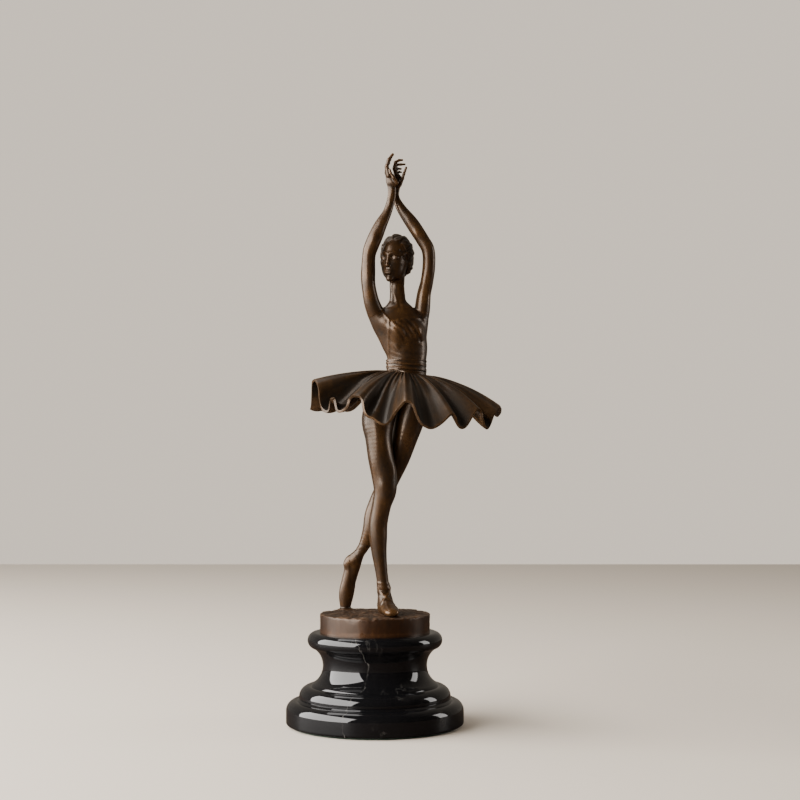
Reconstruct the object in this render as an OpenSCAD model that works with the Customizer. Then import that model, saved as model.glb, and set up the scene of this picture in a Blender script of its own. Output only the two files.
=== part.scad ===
// Bronze dancer, cast in sections and bolted to a turned marble base.
// Origin at the centre of the felt's underside, +Z up, the dancer faces -Y. Millimetres.

/* [Marble base] */
// Largest diameter of the marble base
base_d = 139; // [128:0.5:154]
// Height of the marble's top face above the table
base_h = 73; // [66:0.5:80]
// Thickness of the felt under the marble
felt_t = 1.5; // [1:0.1:2.5]
// Bore through the marble for the threaded stud
bore_d = 7; // [6.5:0.1:9]
// Recess under the marble for the nut
recess_d = 28; // [22:1:34]
// Depth of that recess above the marble's underside
recess_h = 15; // [12:0.5:20]

/* [Bronze plinth] */
// Diameter of the plinth
plinth_d = 86.4; // [86:0.2:92]
// Height of the plinth
plinth_h = 14.6; // [12:0.2:18]
// Thickness of its wall
plinth_wall = 3; // [2.4:0.1:3.2]
// Thickness of its top plate
plate_t = 4; // [3:0.1:5]

/* [Dancer] */
// Height from the plinth's top to the highest fingertip
figure_h = 360; // [330:1:380]
// Thickness of the skirt at its hem
skirt_t = 1.9; // [1.4:0.1:2.6]
// How deep the folds of the skirt run, against the usual
fold_depth = 1; // [0.6:0.05:1.1]

/* [Fixings] */
// Thread diameter of the stud through the marble
stud_d = 6; // [5:0.5:6]
// Thread diameter of the screws under the feet
screw_d = 3; // [2.5:0.5:3]
// Diameter of the dowels in the hips, shoulders and neck
dowel_d = 4; // [3:0.5:5]

/* [Hidden] */

bronze = "#5a3d26";
dark_bronze = "#3f2c1d";
marble = "#141416";
steel = "#a8a8a8";
felt = "#1d3b2a";

ground = base_h + plinth_h;
design_h = 360;              // figure_h that the stations below are drawn at
k = figure_h / design_h;
ring_n = 20;                 // sides of a body section
steps = 3;                   // sections between two stations
eps = 0.01;

// Stud, washers and nut, measured up from the table.
recess_top = felt_t + recess_h;
washer_t = 1.6;
washer_d = 18;
spring_t = 1.5;
spring_d = 11;
nut_h = 5;
nut_af = 10;
nut_z = recess_top - washer_t - spring_t - nut_h;
stud_z = nut_z - 2;
boss_d = 14;
boss_z = base_h + 0.4;
stud_top = ground - plate_t - 1;

// Screws under the feet: shank into the casting, pan head under the plate.
screw_len = 10;
head_d = 5.4;
head_h = 2;
screw_clear = 0.2;
right_foot = [9, -5];
left_toe = [-23.6, 27.6];

// Body sections in figure space, which starts at the plinth's top: [x, y, z, half width, half depth, turn].
thigh_z = 168;
RIGHT_LEG = [
    [8.4, -4, 6, 5.2, 6.2, 0], [7.5, -0.6, 14, 5.2, 5.8, 0], [6.3, -1, 23, 4.7, 5, 0],
    [4.9, -1.5, 34, 4.9, 5.4, 0], [3.2, -1.5, 47.5, 6, 7, 0], [2.5, -1.8, 60, 7.1, 8.5, 0],
    [2.6, -2.4, 71, 7.4, 8.9, 0], [5.3, -5.6, 85, 7.6, 8.2, 0], [8, -8, 96, 8.9, 8.4, 0],
    [7.2, -8, 108, 9.9, 9, 0], [4.6, -7, 122, 10.1, 10.4, 0], [2.9, -6, 137, 10.5, 12, 0],
    [2.6, -4.6, 152, 13, 13.6, 0], [7, -3.4, thigh_z, 13, 14.2, 0]];
RIGHT_FOOT = [
    [6.4, 5.4, 4.6, 2.4, 2.8, 0], [6.9, 3, 5.8, 4.6, 5.7, 0], [8.3, -3, 7.2, 5.2, 7.1, 0],
    [10.2, -11, 5.5, 5.5, 5.4, 0], [12, -19, 4, 6.2, 3.9, 0], [13.4, -26, 3.1, 5.6, 3, 0],
    [14, -29.6, 2.5, 3.4, 2.2, 0]];
LEFT_LEG = [
    [-23.9, 28, 0.1, 2.9, 2.9, 0], [-24, 27.9, 4, 4.4, 3.8, 0], [-23.2, 27, 13, 5.8, 4.3, 0],
    [-20.9, 25.6, 24, 5.6, 4.6, 0], [-17.4, 23.6, 36, 5.8, 4.8, 0], [-12.8, 21, 45, 4.2, 4.5, 0],
    [-8.6, 18.6, 52, 4.6, 5, 0], [-3.4, 15.6, 64, 6.7, 6.9, 0], [-1.1, 14.6, 75, 7.2, 7.3, 0],
    [2.4, 13.4, 86, 7.3, 7, 0], [7.6, 11.4, 97, 7.8, 7.2, 0], [12.6, 10, 108, 8.2, 8, 0],
    [18.2, 8, 121, 9, 9.6, 0], [23.2, 6, 137, 10.2, 11.6, 0], [27.4, 5, 152, 11.6, 13, 0],
    [31.4, 4, thigh_z, 10.6, 13.6, 0]];
LEFT_HEEL = [[-16, 21.6, 42.5, 3, 3.2, 0], [-20.4, 22.6, 39.6, 3.3, 3.4, 0], [-23, 23.6, 35.5, 2.6, 3, 0]];
TORSO = [
    [19.6, 0, thigh_z + eps, 23.4, 15.6, 8], [20.6, -0.6, 177, 21.6, 15, 9],
    [23.4, -0.8, 185, 17.4, 12.8, 11], [24.6, -0.6, 193, 15.2, 11.4, 13],
    [25, -0.4, 200, 15.8, 11.8, 15], [23.4, -0.6, 208, 18.2, 12.8, 16],
    [21.4, -1, 216, 19.8, 13.6, 16], [20.2, -1, 224, 21.4, 13.6, 16],
    [19.6, -1, 231, 20.4, 11.6, 16], [19, -0.6, 236, 14.4, 9.2, 14],
    [18.6, -0.2, 240.4, 10.8, 7.6, 10], [17.9, 0.2, 244.5, 7, 6.4, 5],
    [17.6, 0.2, 250, 6.1, 6, 0], [17.2, -0.4, 259.4, 5.9, 5.8, 0]];
RIGHT_SHOULDER = [[12, -1.4, 219, 8, 8.4, 0], [6.2, -3, 226, 8, 8.2, 0], [0.6, -5.2, 235, 6.8, 7.2, 0]];
LEFT_SHOULDER = [[30.6, 4.4, 218, 6.6, 7.4, 0], [34.4, 4.6, 227, 6.6, 7.4, 0], [37, 3.6, 237, 6.2, 6.9, 0]];
RIGHT_ARM = [
    [-2.6, -7.8, 243.5, 6.1, 6.6, 0], [-4.8, -10.4, 256, 5.4, 5.9, 0],
    [-5.1, -12, 267, 5.5, 5.6, 0], [-4.6, -13, 279, 5.2, 5.1, 0], [-2.6, -13, 286.5, 5.6, 5.4, 0],
    [0.9, -12.6, 295, 5.6, 5.1, 0], [4.6, -12, 303.4, 4.9, 4.6, 0], [9.9, -11.2, 313.8, 3.5, 3.4, 0],
    [13, -10.4, 325, 3.2, 2.4, 0], [13.2, -10, 333, 3.3, 2.2, 0], [11.6, -10, 341, 3, 1.8, 0],
    [9.6, -10, 346, 2.2, 1.6, 0]];
LEFT_ARM = [
    [38.4, 1.4, 250, 5.5, 6, 0], [40.7, -1.4, 260, 5, 5.6, 0], [42.3, -4, 271, 5, 5.4, 0],
    [41.8, -6, 283.6, 5.1, 5.2, 0], [37, -6, 293, 5.2, 5, 0], [29, -5.6, 305.4, 5.2, 4.6, 0],
    [20.6, -5, 317, 3.8, 3.4, 0], [16.4, -4.6, 326, 2.8, 2.2, 0], [16.9, -4.4, 334, 2.9, 2.1, 0],
    [18.2, -4.4, 340, 3, 1.8, 0], [17.8, -4.4, 344.6, 2.4, 1.4, 0]];

// Digits as the joints of a bent finger: four fingers and a thumb to a hand.
finger_r = 1.2;
RIGHT_DIGITS = [
    [[9.8, -12, 343.5], [8.4, -12.9, 349.6], [10.2, -13, 354.4], [14, -12.6, 358.8]],
    [[9.8, -10.6, 343.5], [8.8, -11, 349.6], [10.4, -11, 354.4], [13, -10.6, 357.4]],
    [[9.8, -9.2, 343], [8.6, -9, 348.6], [9.8, -9, 353], [11.8, -8.6, 355.6]],
    [[9.8, -8, 342.5], [8.4, -7.2, 347], [9, -6.9, 350.8], [10.6, -6.7, 353]],
    [[12.6, -11.8, 336], [14.6, -12.8, 340.6], [15.2, -12.8, 345]]];
LEFT_DIGITS = [
    [[17.6, -5.8, 342.5], [14.9, -6.6, 349.4], [16.6, -6.6, 354.2], [21.6, -6.2, 355.6]],
    [[17.6, -4.6, 342.5], [15.4, -4.8, 349], [17.4, -4.8, 353], [22.4, -4.8, 352.6]],
    [[17.8, -3.4, 342.5], [16, -3, 348], [18, -2.8, 351.4], [22.6, -3, 350.6]],
    [[18.2, -2.4, 342], [17, -1.4, 346.6], [18.6, -1.2, 349.4], [22, -1.4, 348.6]],
    [[20, -5.6, 337], [22.2, -6.8, 343], [24, -6.8, 350.2]]];

// Head in its own frame: origin at the middle of the skull, facing -Y.
head_at = [16.4, -2, 277.4];
head_turn = -24;
HEAD = [
    [0, -7, -19, 3.4, 5, 0], [0, -6.4, -17, 5.8, 8, 0], [0, -4.4, -12, 9, 11.6, 0],
    [0, -1.8, -5, 11.8, 14.6, 0], [0, 0, 2, 13, 16.4, 0], [0, 0.6, 9, 12.8, 16.4, 0],
    [0, 1, 14.6, 10.4, 13.4, 0], [0, 1, 18.4, 6, 8, 0], [0, 1, 20, 1.8, 2.4, 0]];
bun_at = [0, 17, -4];
bun_r = 6.6;

// Skirt and sash, about the waist, which dips towards +X.
waist_at = [24.6, -0.6, 188.4];
waist_rx = 15.5;
waist_ry = 11.7;
waist_turn = 12;
waist_dip = 0.12;
sash_h = 9.4;
sash_t = 1.3;
hem_r = 75;
hem_drop = 27;               // how far the hem hangs under the waist, on average
hem_tilt = [9.5, -5.5];      // how much lower it hangs towards +X and -Y
// The hem, once round: [angle, height].
HEM = [
    [-14, 162.4], [-6, 160], [4, 156.5], [12, 155], [17, 157], [21, 165], [25, 166.5], [29, 165.4],
    [33, 158], [38, 156], [43, 158.4], [46, 169.4], [50, 171], [54.6, 169.6], [57.6, 160],
    [62, 158], [66.6, 160.2], [70, 172], [75, 174.2], [79.6, 172.6], [82.6, 162.4], [87, 160],
    [91.4, 162.4], [94.4, 174.4], [99, 176.2], [103.4, 174.4], [106.4, 163.6], [111, 161],
    [115.6, 163.8], [118.6, 176.4], [123, 178.4], [127.4, 176.6], [130.6, 164.4], [135, 162],
    [139.6, 164.4], [142.6, 178.2], [147, 180.2], [151.6, 178.4], [154.6, 164.6], [159, 162],
    [163.4, 164.4], [166.4, 179.6], [171, 182], [174.6, 179.6], [177.6, 165], [182, 161],
    [186, 163.4], [189.6, 177.6], [194, 181.8], [199, 182.2], [203.6, 179.4], [206.6, 174],
    [208.2, 166], [211, 160.2], [214.5, 158.4], [217.6, 158], [219.6, 157.8], [222, 157.6],
    [224.2, 157.8], [226.4, 158], [230, 158.2], [233, 160.8], [234.8, 166], [238, 168.8],
    [242, 168.6], [244.6, 165], [245.8, 158], [248, 153.8], [252, 151.6], [257, 147.6],
    [260.5, 150], [264.9, 158.5], [268, 163.2], [271, 164.6], [274.2, 162.4], [277, 154],
    [280, 147.4], [284.6, 144.6], [289.6, 147], [294.8, 153], [298, 155], [300.4, 153],
    [302, 147.6], [304.8, 144.8], [308, 146.6], [313, 155], [317, 159.2], [320.4, 157.6],
    [322.4, 150], [325.4, 145], [330, 147.4], [337, 156.6], [346, 162.4]];
skirt_front = 285;           // the angle that the skirt hangs most evenly at
even_reach = 22;             // degrees either side of it with no deep hollows
even_ease = 25;              // degrees over which the hollows come in
deep_from = 4;               // depth below the mean hem at which a hollow is at its fullest
tuck_at = 222;               // a small fold of the hem alone
tuck_h = 11.4;
tuck_w = 3;
skirt_rings = 8;
skirt_start = 0.03;          // how far out of the waist the sheet begins

// Cubic through p1 and p2.
function spline(p0, p1, p2, p3, t) = 0.5 * (2 * p1 + (p2 - p0) * t
    + (2 * p0 - 5 * p1 + 4 * p2 - p3) * t * t + (3 * p1 - p0 - 3 * p2 + p3) * t * t * t);
function clamped(list, i) = list[min(max(i, 0), len(list) - 1)];
function smooth(list) = [for (i = [0:len(list) - 2], j = [0:steps - 1])
    spline(clamped(list, i - 1), list[i], list[i + 1], clamped(list, i + 2), j / steps),
    list[len(list) - 1]];
function place(s) = [s[0], s[1], s[2]];
function unit(v) = v / norm(v);
function heading(list, i) = unit(place(clamped(list, i + 1)) - place(clamped(list, i - 1)));

// Ring of points of section s, square to the direction d.
function section(s, d) = let(u = unit([1, 0, 0] - d[0] * d), v = cross(d, u))
    [for (i = [0:ring_n - 1]) let(a = 360 * i / ring_n, c = s[3] * cos(a), e = s[4] * sin(a))
        place(s) + (c * cos(s[5]) - e * sin(s[5])) * u + (c * sin(s[5]) + e * cos(s[5])) * v];
function flat_section(s, n = ring_n, grow = 0) = [for (i = [0:n - 1]) let(a = 360 * i / n,
        c = (s[3] + grow) * cos(a), e = (s[4] + grow) * sin(a))
    place(s) + [c * cos(s[5]) - e * sin(s[5]), c * sin(s[5]) + e * cos(s[5]), 0]];

function wall_faces(n, rings, from = 0) = [for (r = [0:rings - 2], i = [0:n - 1])
    let(a = from + r * n + i, b = from + r * n + (i + 1) % n) each [[a, a + n, b], [b, a + n, b + n]]];

// Closed skin over a stack of rings.
module skin(rings) {
    n = len(rings[0]);
    top = n * (len(rings) - 1);
    polyhedron([for (r = rings) each r],
        concat(wall_faces(n, len(rings)), [[for (i = [0:n - 1]) i]],
            [[for (i = [n - 1:-1:0]) top + i]]));
}

// Closed shell between two sheets of rings that meet at both ends.
module shell(outer, inner) {
    n = len(outer[0]);
    m = len(outer);
    back = n * m;
    polyhedron([for (r = concat(outer, inner)) each r],
        concat(wall_faces(n, m), [for (f = wall_faces(n, m, back)) [f[0], f[2], f[1]]],
            [for (i = [0:n - 1]) let(j = (i + 1) % n) each [[i, j, back + i], [j, back + j, back + i]]],
            [for (i = [0:n - 1]) let(j = (i + 1) % n, a = back - n + i, b = back - n + j)
                each [[a, a + back, b], [b, a + back, b + back]]]));
}

// Limb through its stations, its ends square to its own run or flat.
module limb(stations, flat_start = false, flat_end = false) {
    s = smooth(stations);
    last = len(s) - 1;
    skin([for (i = [0:last]) section(s[i],
        (flat_start && i == 0) || (flat_end && i == last) ? [0, 0, 1] : heading(s, i))]);
}

// Body built of level sections.
module trunk(stations) {
    skin([for (s = smooth(stations)) flat_section(s)]);
}

// Finger bent at its joints.
module digit(points) {
    for (i = [0:len(points) - 2])
        hull() {
            translate(points[i]) sphere(r = finger_r, $fn = 10);
            translate(points[i + 1]) sphere(r = finger_r * (1 - 0.12 * (i + 1)), $fn = 10);
        }
}

module on_plinth() {
    translate([0, 0, ground]) scale([k, k, k]) children();
}

// Dowel across a joint: half of it either side of p, along the direction d.
module dowel(p, d, half = 7) {
    translate(p) rotate([0, acos(d[2]), atan2(d[1], d[0])])
        translate([0, 0, -half]) cylinder(d = dowel_d, h = 2 * half, $fn = 32);
}

function joint_of(stations) = let(n = len(stations) - 1) place(stations[n]);
function run_of(stations) = let(n = len(stations) - 1) unit(place(stations[n]) - place(stations[n - 1]));

module hip_dowel_set() {
    for (leg = [RIGHT_LEG, LEFT_LEG]) dowel(joint_of(leg), [0, 0, 1]);
}

module shoulder_dowel_set() {
    for (arm = [RIGHT_SHOULDER, LEFT_SHOULDER]) dowel(joint_of(arm), run_of(arm), 6);
}

module neck_dowel_set() {
    dowel(joint_of(TORSO), [0, 0, 1], 5);
}

function arc(c, r, from, to, n = 10) = [for (i = [0:n]) let(a = from + (to - from) * i / n)
    c + r * [cos(a), sin(a)]];

// Outline of the marble, from the felt up: foot, shoulder, scotia and lip.
function marble_outline() = concat([[0, 1.5]], arc([68.2, 3.5], 2, -90, 0, 6),
    arc([62.5, 12.3], 7.7, 0, 97), arc([51.5, 23], 8.4, -12, 98),
    arc([57.5, 47], 16.3, 241, 120, 16), arc([47, 66.7], 6.3, -62, 90, 12), [[0, 73]]);

module felt_pad() {
    color(felt) cylinder(r = 0.47 * base_d, h = felt_t, $fn = 96);
}

module marble_base() {
    sx = base_d / 140.4;
    sz = (base_h - felt_t) / 71.5;
    color(marble) difference() {
        rotate_extrude($fn = 128)
            polygon([for (p = marble_outline()) [sx * p[0], felt_t + sz * (p[1] - 1.5)]]);
        translate([0, 0, -eps]) cylinder(d = bore_d, h = base_h + 1, $fn = 48);
        translate([0, 0, -eps]) cylinder(d = recess_d, h = recess_top + eps, $fn = 64);
    }
}

module washer(z, outer_d, t) {
    color(steel) translate([0, 0, z]) difference() {
        cylinder(d = outer_d, h = t, $fn = 48);
        translate([0, 0, -1]) cylinder(d = stud_d + 0.4, h = t + 2, $fn = 48);
    }
}

// Split spring washer.
module spring_washer() {
    color(steel) difference() {
        washer(nut_z + nut_h, spring_d, spring_t);
        translate([0, -0.5, nut_z + nut_h - 1]) cube([spring_d, 1, spring_t + 2]);
    }
}

module stud_nut() {
    color(steel) translate([0, 0, nut_z]) difference() {
        cylinder(d = nut_af / cos(30), h = nut_h, $fn = 6);
        translate([0, 0, -1]) cylinder(d = stud_d, h = nut_h + 2, $fn = 48);
    }
}

module base_stud() {
    color(steel) translate([0, 0, stud_z]) cylinder(d = stud_d, h = stud_top - stud_z, $fn = 48);
}

// Cup casting with a boss for the stud and a hole for each foot's screw.
module bronze_plinth() {
    inner_d = plinth_d - 2 * plinth_wall;
    color(bronze) difference() {
        union() {
            difference() {
                translate([0, 0, base_h]) cylinder(d = plinth_d, h = plinth_h, $fn = 96);
                translate([0, 0, base_h - 1])
                    cylinder(d = inner_d, h = plinth_h - plate_t + 1, $fn = 96);
            }
            translate([0, 0, boss_z])
                cylinder(d = boss_d, h = ground - boss_z - 1, $fn = 48);
        }
        translate([0, 0, base_h - 1]) cylinder(d = stud_d, h = stud_top - base_h + 1, $fn = 48);
        for (p = [right_foot, left_toe])
            translate([p[0], p[1], base_h])
                cylinder(d = screw_d + 2 * screw_clear, h = plinth_h + 1, $fn = 32);
    }
}

module foot_screws() {
    plate_z = ground - plate_t;
    color(steel) for (p = [right_foot, left_toe])
        translate([p[0], p[1], plate_z]) {
            translate([0, 0, -head_h]) cylinder(d = head_d, h = head_h, $fn = 32);
            cylinder(d = screw_d, h = screw_len + plate_t - 1, $fn = 32);
        }
}

// Threaded hole up into a foot, from the plinth's top.
module foot_hole(p) {
    translate([p[0], p[1], -1] / k) cylinder(d = screw_d / k, h = (screw_len + 1) / k, $fn = 32);
}

module right_leg() {
    color(bronze) on_plinth() difference() {
        union() {
            limb(RIGHT_LEG, flat_end = true);
            limb(RIGHT_FOOT);
        }
        foot_hole(right_foot);
        hip_dowel_set();
    }
}

module left_leg() {
    color(bronze) on_plinth() difference() {
        union() {
            limb(LEFT_LEG, flat_start = true, flat_end = true);
            limb(LEFT_HEEL);
        }
        foot_hole(left_toe);
        hip_dowel_set();
    }
}

module torso() {
    color(bronze) on_plinth() difference() {
        union() {
            trunk(TORSO);
            limb(RIGHT_SHOULDER);
            limb(LEFT_SHOULDER);
        }
        hip_dowel_set();
        shoulder_dowel_set();
        neck_dowel_set();
    }
}

// Arm from the shoulder's last section to the fingertips.
module arm(shoulder, stations, digits) {
    n = len(shoulder) - 1;
    lift = eps * run_of(shoulder);
    start = shoulder[n] + [lift[0], lift[1], lift[2], 0, 0, 0];
    s = smooth(concat([start], stations));
    skin([for (i = [0:len(s) - 1])
        section(s[i], i == 0 ? run_of(shoulder) : heading(s, i))]);
    for (d = digits) digit(d);
}

module right_arm() {
    color(bronze) on_plinth() difference() {
        arm(RIGHT_SHOULDER, RIGHT_ARM, RIGHT_DIGITS);
        shoulder_dowel_set();
    }
}

module left_arm() {
    color(bronze) on_plinth() difference() {
        arm(LEFT_SHOULDER, LEFT_ARM, LEFT_DIGITS);
        shoulder_dowel_set();
    }
}

module head() {
    color(bronze) on_plinth() difference() {
        translate(head_at) rotate([0, 0, head_turn]) {
            trunk(HEAD);
            translate(bun_at) sphere(r = bun_r, $fn = 32);
        }
        neck_dowel_set();
    }
}

function hem_mean(a) = waist_at[2] - hem_drop - hem_tilt[0] * cos(a) - hem_tilt[1] * sin(a);
function dip(x) = -waist_dip * (x - waist_at[0]);
function limit(v) = min(max(v, 0), 1);

// Skirt's upper face under the hem's point [angle, height]; f runs from 0 at the waist to 1.
// Ridges rise evenly; hollows away from the front deepen early and curl up at the hem.
function drape(h, f) = let(
    a = h[0],
    e = [waist_rx * cos(a - waist_turn), waist_ry * sin(a - waist_turn)],
    x = waist_at[0] + e[0] * cos(waist_turn) - e[1] * sin(waist_turn),
    y = waist_at[1] + e[0] * sin(waist_turn) + e[1] * cos(waist_turn),
    r = f * (hem_r - waist_rx),
    start = waist_at[2] + dip(x),
    swing = fold_depth * (h[1] - hem_mean(a)),
    aside = abs((a - skirt_front + 540) % 360 - 180),
    hollow = limit((aside - even_reach) / even_ease) * limit(-swing / deep_from),
    growth = (1 - hollow) * pow(f, 1.4) + hollow * pow(f, 3) * (11 - 10 * f),
    tuck = tuck_h * exp(-pow((a - tuck_at) / tuck_w, 4)) * pow(f, 8))
    [x + r * cos(a), y + r * sin(a),
        start - (start - hem_mean(a)) * (0.35 * f + 0.65 * f * f) + swing * growth + tuck];

module skirt() {
    n = 2 * (len(HEM) - 1);
    hem = [for (i = [0:n - 1]) let(j = floor(i / 2))
        i % 2 == 0 ? HEM[j] : spline(clamped(HEM, j - 1), HEM[j], HEM[j + 1], clamped(HEM, j + 2), 0.5)];
    function normal(i, f) = unit(cross(
        drape(hem[i], f + 0.02) - drape(hem[i], f - 0.02),
        drape(hem[(i + 1) % n], f) - drape(hem[(i + n - 1) % n], f)));
    fs = [for (j = [0:skirt_rings]) skirt_start + (1 - skirt_start) * j / skirt_rings];
    top = [for (f = fs) [for (h = hem) drape(h, f)]];
    under = [for (f = fs) [for (i = [0:n - 1]) drape(hem[i], f) - skirt_t * normal(i, f)]];
    color(dark_bronze) on_plinth() shell(top, under);
}

module waist_sash() {
    body = [waist_at[0], waist_at[1], 0, waist_rx, waist_ry, waist_turn];
    rise = [0, 0.3, 0.7, 1];
    bulge = [0.8, 1, 1, 0.7];
    function band(grow) = [for (i = [0:3])
        [for (p = flat_section(body, 40, grow[i]))
            [p[0], p[1], waist_at[2] + 0.6 + sash_h * rise[i] + (1 - rise[i]) * dip(p[0])]]];
    color(bronze) on_plinth() shell(band(sash_t * bulge), band([for (b = bulge) 0.2]));
}

module hip_dowels() {
    color(steel) on_plinth() hip_dowel_set();
}

module shoulder_dowels() {
    color(steel) on_plinth() shoulder_dowel_set();
}

module neck_dowel() {
    color(steel) on_plinth() neck_dowel_set();
}

felt_pad();
marble_base();
stud_nut();
spring_washer();
washer(recess_top - washer_t, washer_d, washer_t);  // flat_washer
base_stud();
bronze_plinth();
foot_screws();
right_leg();
left_leg();
hip_dowels();
torso();
skirt();
waist_sash();
shoulder_dowels();
right_arm();
left_arm();
neck_dowel();
head();
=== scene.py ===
import math

import bpy
import numpy as np
from mathutils import Euler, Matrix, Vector, noise


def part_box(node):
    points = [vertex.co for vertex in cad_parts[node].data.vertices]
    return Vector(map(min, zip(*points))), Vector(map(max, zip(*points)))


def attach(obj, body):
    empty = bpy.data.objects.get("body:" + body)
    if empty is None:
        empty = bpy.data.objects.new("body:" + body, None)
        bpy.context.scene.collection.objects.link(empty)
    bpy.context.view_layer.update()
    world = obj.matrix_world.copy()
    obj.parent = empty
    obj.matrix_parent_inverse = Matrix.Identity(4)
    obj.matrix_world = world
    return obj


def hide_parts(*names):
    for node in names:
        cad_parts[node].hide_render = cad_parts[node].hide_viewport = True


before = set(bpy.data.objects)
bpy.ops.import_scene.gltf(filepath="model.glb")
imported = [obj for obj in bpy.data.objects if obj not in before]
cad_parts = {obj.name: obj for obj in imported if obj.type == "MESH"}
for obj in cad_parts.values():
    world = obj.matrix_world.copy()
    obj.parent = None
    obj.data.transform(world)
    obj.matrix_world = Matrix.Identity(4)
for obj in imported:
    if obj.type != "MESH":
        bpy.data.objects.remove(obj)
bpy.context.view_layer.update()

mm = 0.001
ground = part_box("bronze_plinth")[1].z / mm        # top of the plinth; the dancer's own heights start there
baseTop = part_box("marble_base")[1].z / mm
rough = 1                  # coarser clay while trying things


# the view and the light

view = {
    "place": (0.0196, -1.32, 0.2231),
    "tilt": 1.36,                                 # degrees above level
    "lens": 75.6, "near": 0.02,
}
backdrop = {"seen": (0.94, 0.83, 0.70), "front": 0.018, "rear": 0.25, "turns": (-0.25, 0.6), "soft": 0.3}
# the floor's own colour, and a dark colour painted into its reflections only
floorLook = {"size": 3.4, "colour": (0.76, 0.68, 0.58), "paintedReflection": (0.05, 0.032, 0.022),
             "finish": {"Roughness": 0.55, "Specular IOR Level": 0.25}}
# Soft boxes: bearing and height in degrees from the front, distance, width, height, watts, colour.
softBoxes = {
    "keyBox": (-72, 15, 1.5, 2.5, 1.7, 155, (1, 0.97, 0.94)),
    "sideBox": (98, 12, 1.4, 0.4, 0.8, 6, (1, 0.97, 0.94)),
    "topBox": (-120, 66, 1.6, 0.8, 0.8, 7, (1, 0.98, 0.96)),
}
lightsAimAt = Vector((0.02, 0, 0.22))


def hold(name, data):
    piece = bpy.data.objects.new(name, data)
    bpy.context.scene.collection.objects.link(piece)
    return piece


def placeCamera():
    cam = hold("camera", bpy.data.cameras.new("camera"))
    cam.data.lens = view["lens"]
    cam.data.clip_start = view["near"]
    cam.location = view["place"]
    cam.rotation_euler = (math.radians(90 + view["tilt"]), 0, 0)
    bpy.context.scene.camera = cam


def layFloor():
    bpy.ops.mesh.primitive_plane_add(size=floorLook["size"])
    floor = bpy.context.object
    floor.name = "floor"
    paint = Paint(bpy.data.materials.new("floorPaint"))
    # painted reflection: glossy rays see the floor in a dark colour, so polished parts reflect a dark table
    # top that is not there
    glossy = paint.node("LightPath", {})["Is Glossy Ray"]
    swap = paint.node("Mix", {"Factor": glossy, "A": (*floorLook["colour"], 1),
                              "B": (*floorLook["paintedReflection"], 1)}, data_type="RGBA")
    floor.data.materials.append(paint.finish({"Base Color": swap["Result"], **floorLook["finish"]}))


def hangLights():
    for name, (bearing, height, far, width, tall, watts, colour) in softBoxes.items():
        light = bpy.data.lights.new(name, "AREA")
        light.shape = "RECTANGLE"
        light.size = width
        light.size_y = tall
        light.energy = watts
        light.color = colour
        box = hold(name, light)
        b, h = math.radians(bearing), math.radians(height)
        away = Vector((math.sin(b) * math.cos(h), -math.cos(b) * math.cos(h), math.sin(h)))
        box.location = lightsAimAt + far * away
        box.rotation_euler = away.to_track_quat("Z", "Y").to_euler()
        box.visible_camera = False


def paintBackdrop():
    # The backdrop is pale; reflections see it behind the dancer and a dim room in front.
    world = bpy.data.worlds.new("studio")
    bpy.context.scene.world = world
    paint = Paint(world)
    paint.nodes.clear()
    way = paint.node("SeparateXYZ", {0: paint.node("TexCoord", {})["Generated"]})["Y"]
    glow = paint.span(way, *backdrop["turns"], backdrop["front"], backdrop["rear"])
    room, fill, seen = (paint.node("Background", {"Color": (*backdrop["seen"], 1), "Strength": strength})[0]
                        for strength in (glow, backdrop["soft"], 1))
    path = paint.node("LightPath", {})
    spread = paint.node("MixShader", {0: path["Is Diffuse Ray"], 1: room, 2: fill})[0]
    mix = paint.node("MixShader", {0: path["Is Camera Ray"], 1: spread, 2: seen})[0]
    paint.node("OutputWorld", {0: mix})


# materials

class Paint:
    # The nodes of a material or of the world, with short ways to add and join them.
    def __init__(self, owner):
        owner.use_nodes = True
        self.owner = owner
        self.nodes, self.link = owner.node_tree.nodes, owner.node_tree.links.new

    def feed(self, node, inputs):
        # Gives each input a value, or joins it to another node's output.
        for key, value in inputs.items():
            if isinstance(value, bpy.types.NodeSocket):
                self.link(value, node.inputs[key])
            else:
                node.inputs[key].default_value = value

    def node(self, kind, inputs, **settings):
        node = self.nodes.new("ShaderNode" + kind)
        for key, value in settings.items():
            setattr(node, key, value)
        self.feed(node, inputs)
        return node.outputs

    def finish(self, inputs):
        self.feed(self.nodes["Principled BSDF"], inputs)
        return self.owner

    def grain(self, scale, detail=5, roughness=0.55, stretch=(1, 1, 1), distortion=0):
        # Noise on object coordinates, with its scale in turns to the metre.
        place = self.node("Mapping", {0: self.node("TexCoord", {})["Object"], "Scale": stretch})[0]
        return self.node("TexNoise", {"Vector": place, "Scale": scale, "Detail": detail,
                                      "Roughness": roughness, "Distortion": distortion})["Fac"]

    def maths(self, a, b, operation="ADD"):
        return self.node("Math", {0: a, 1: b}, operation=operation)[0]

    def span(self, value, low, high, toLow, toHigh):
        return self.node("MapRange", {"Value": value, "From Min": low, "From Max": high,
                                      "To Min": toLow, "To Max": toHigh})[0]

    def shades(self, value, stops):
        ramp = self.nodes.new("ShaderNodeValToRGB")
        while len(ramp.color_ramp.elements) < len(stops):
            ramp.color_ramp.elements.new(0.5)
        for element, (place, colour) in zip(ramp.color_ramp.elements, stops):
            element.position = place
            element.color = (*colour, 1)
        self.link(value, ramp.inputs[0])
        return ramp.outputs[0]

    def bumps(self, layers):
        # Each layer is a height, how far it stands out in millimetres, and its strength.
        last = {}
        for height, reach, strength in layers:
            bump = self.node("Bump", {"Height": height, "Distance": reach * mm, "Strength": strength, **last})
            last = {"Normal": bump[0]}
        return last


# bronze: shades from the hollows to the rubbed places; how far wear, clouding and pits show; gloss

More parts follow.
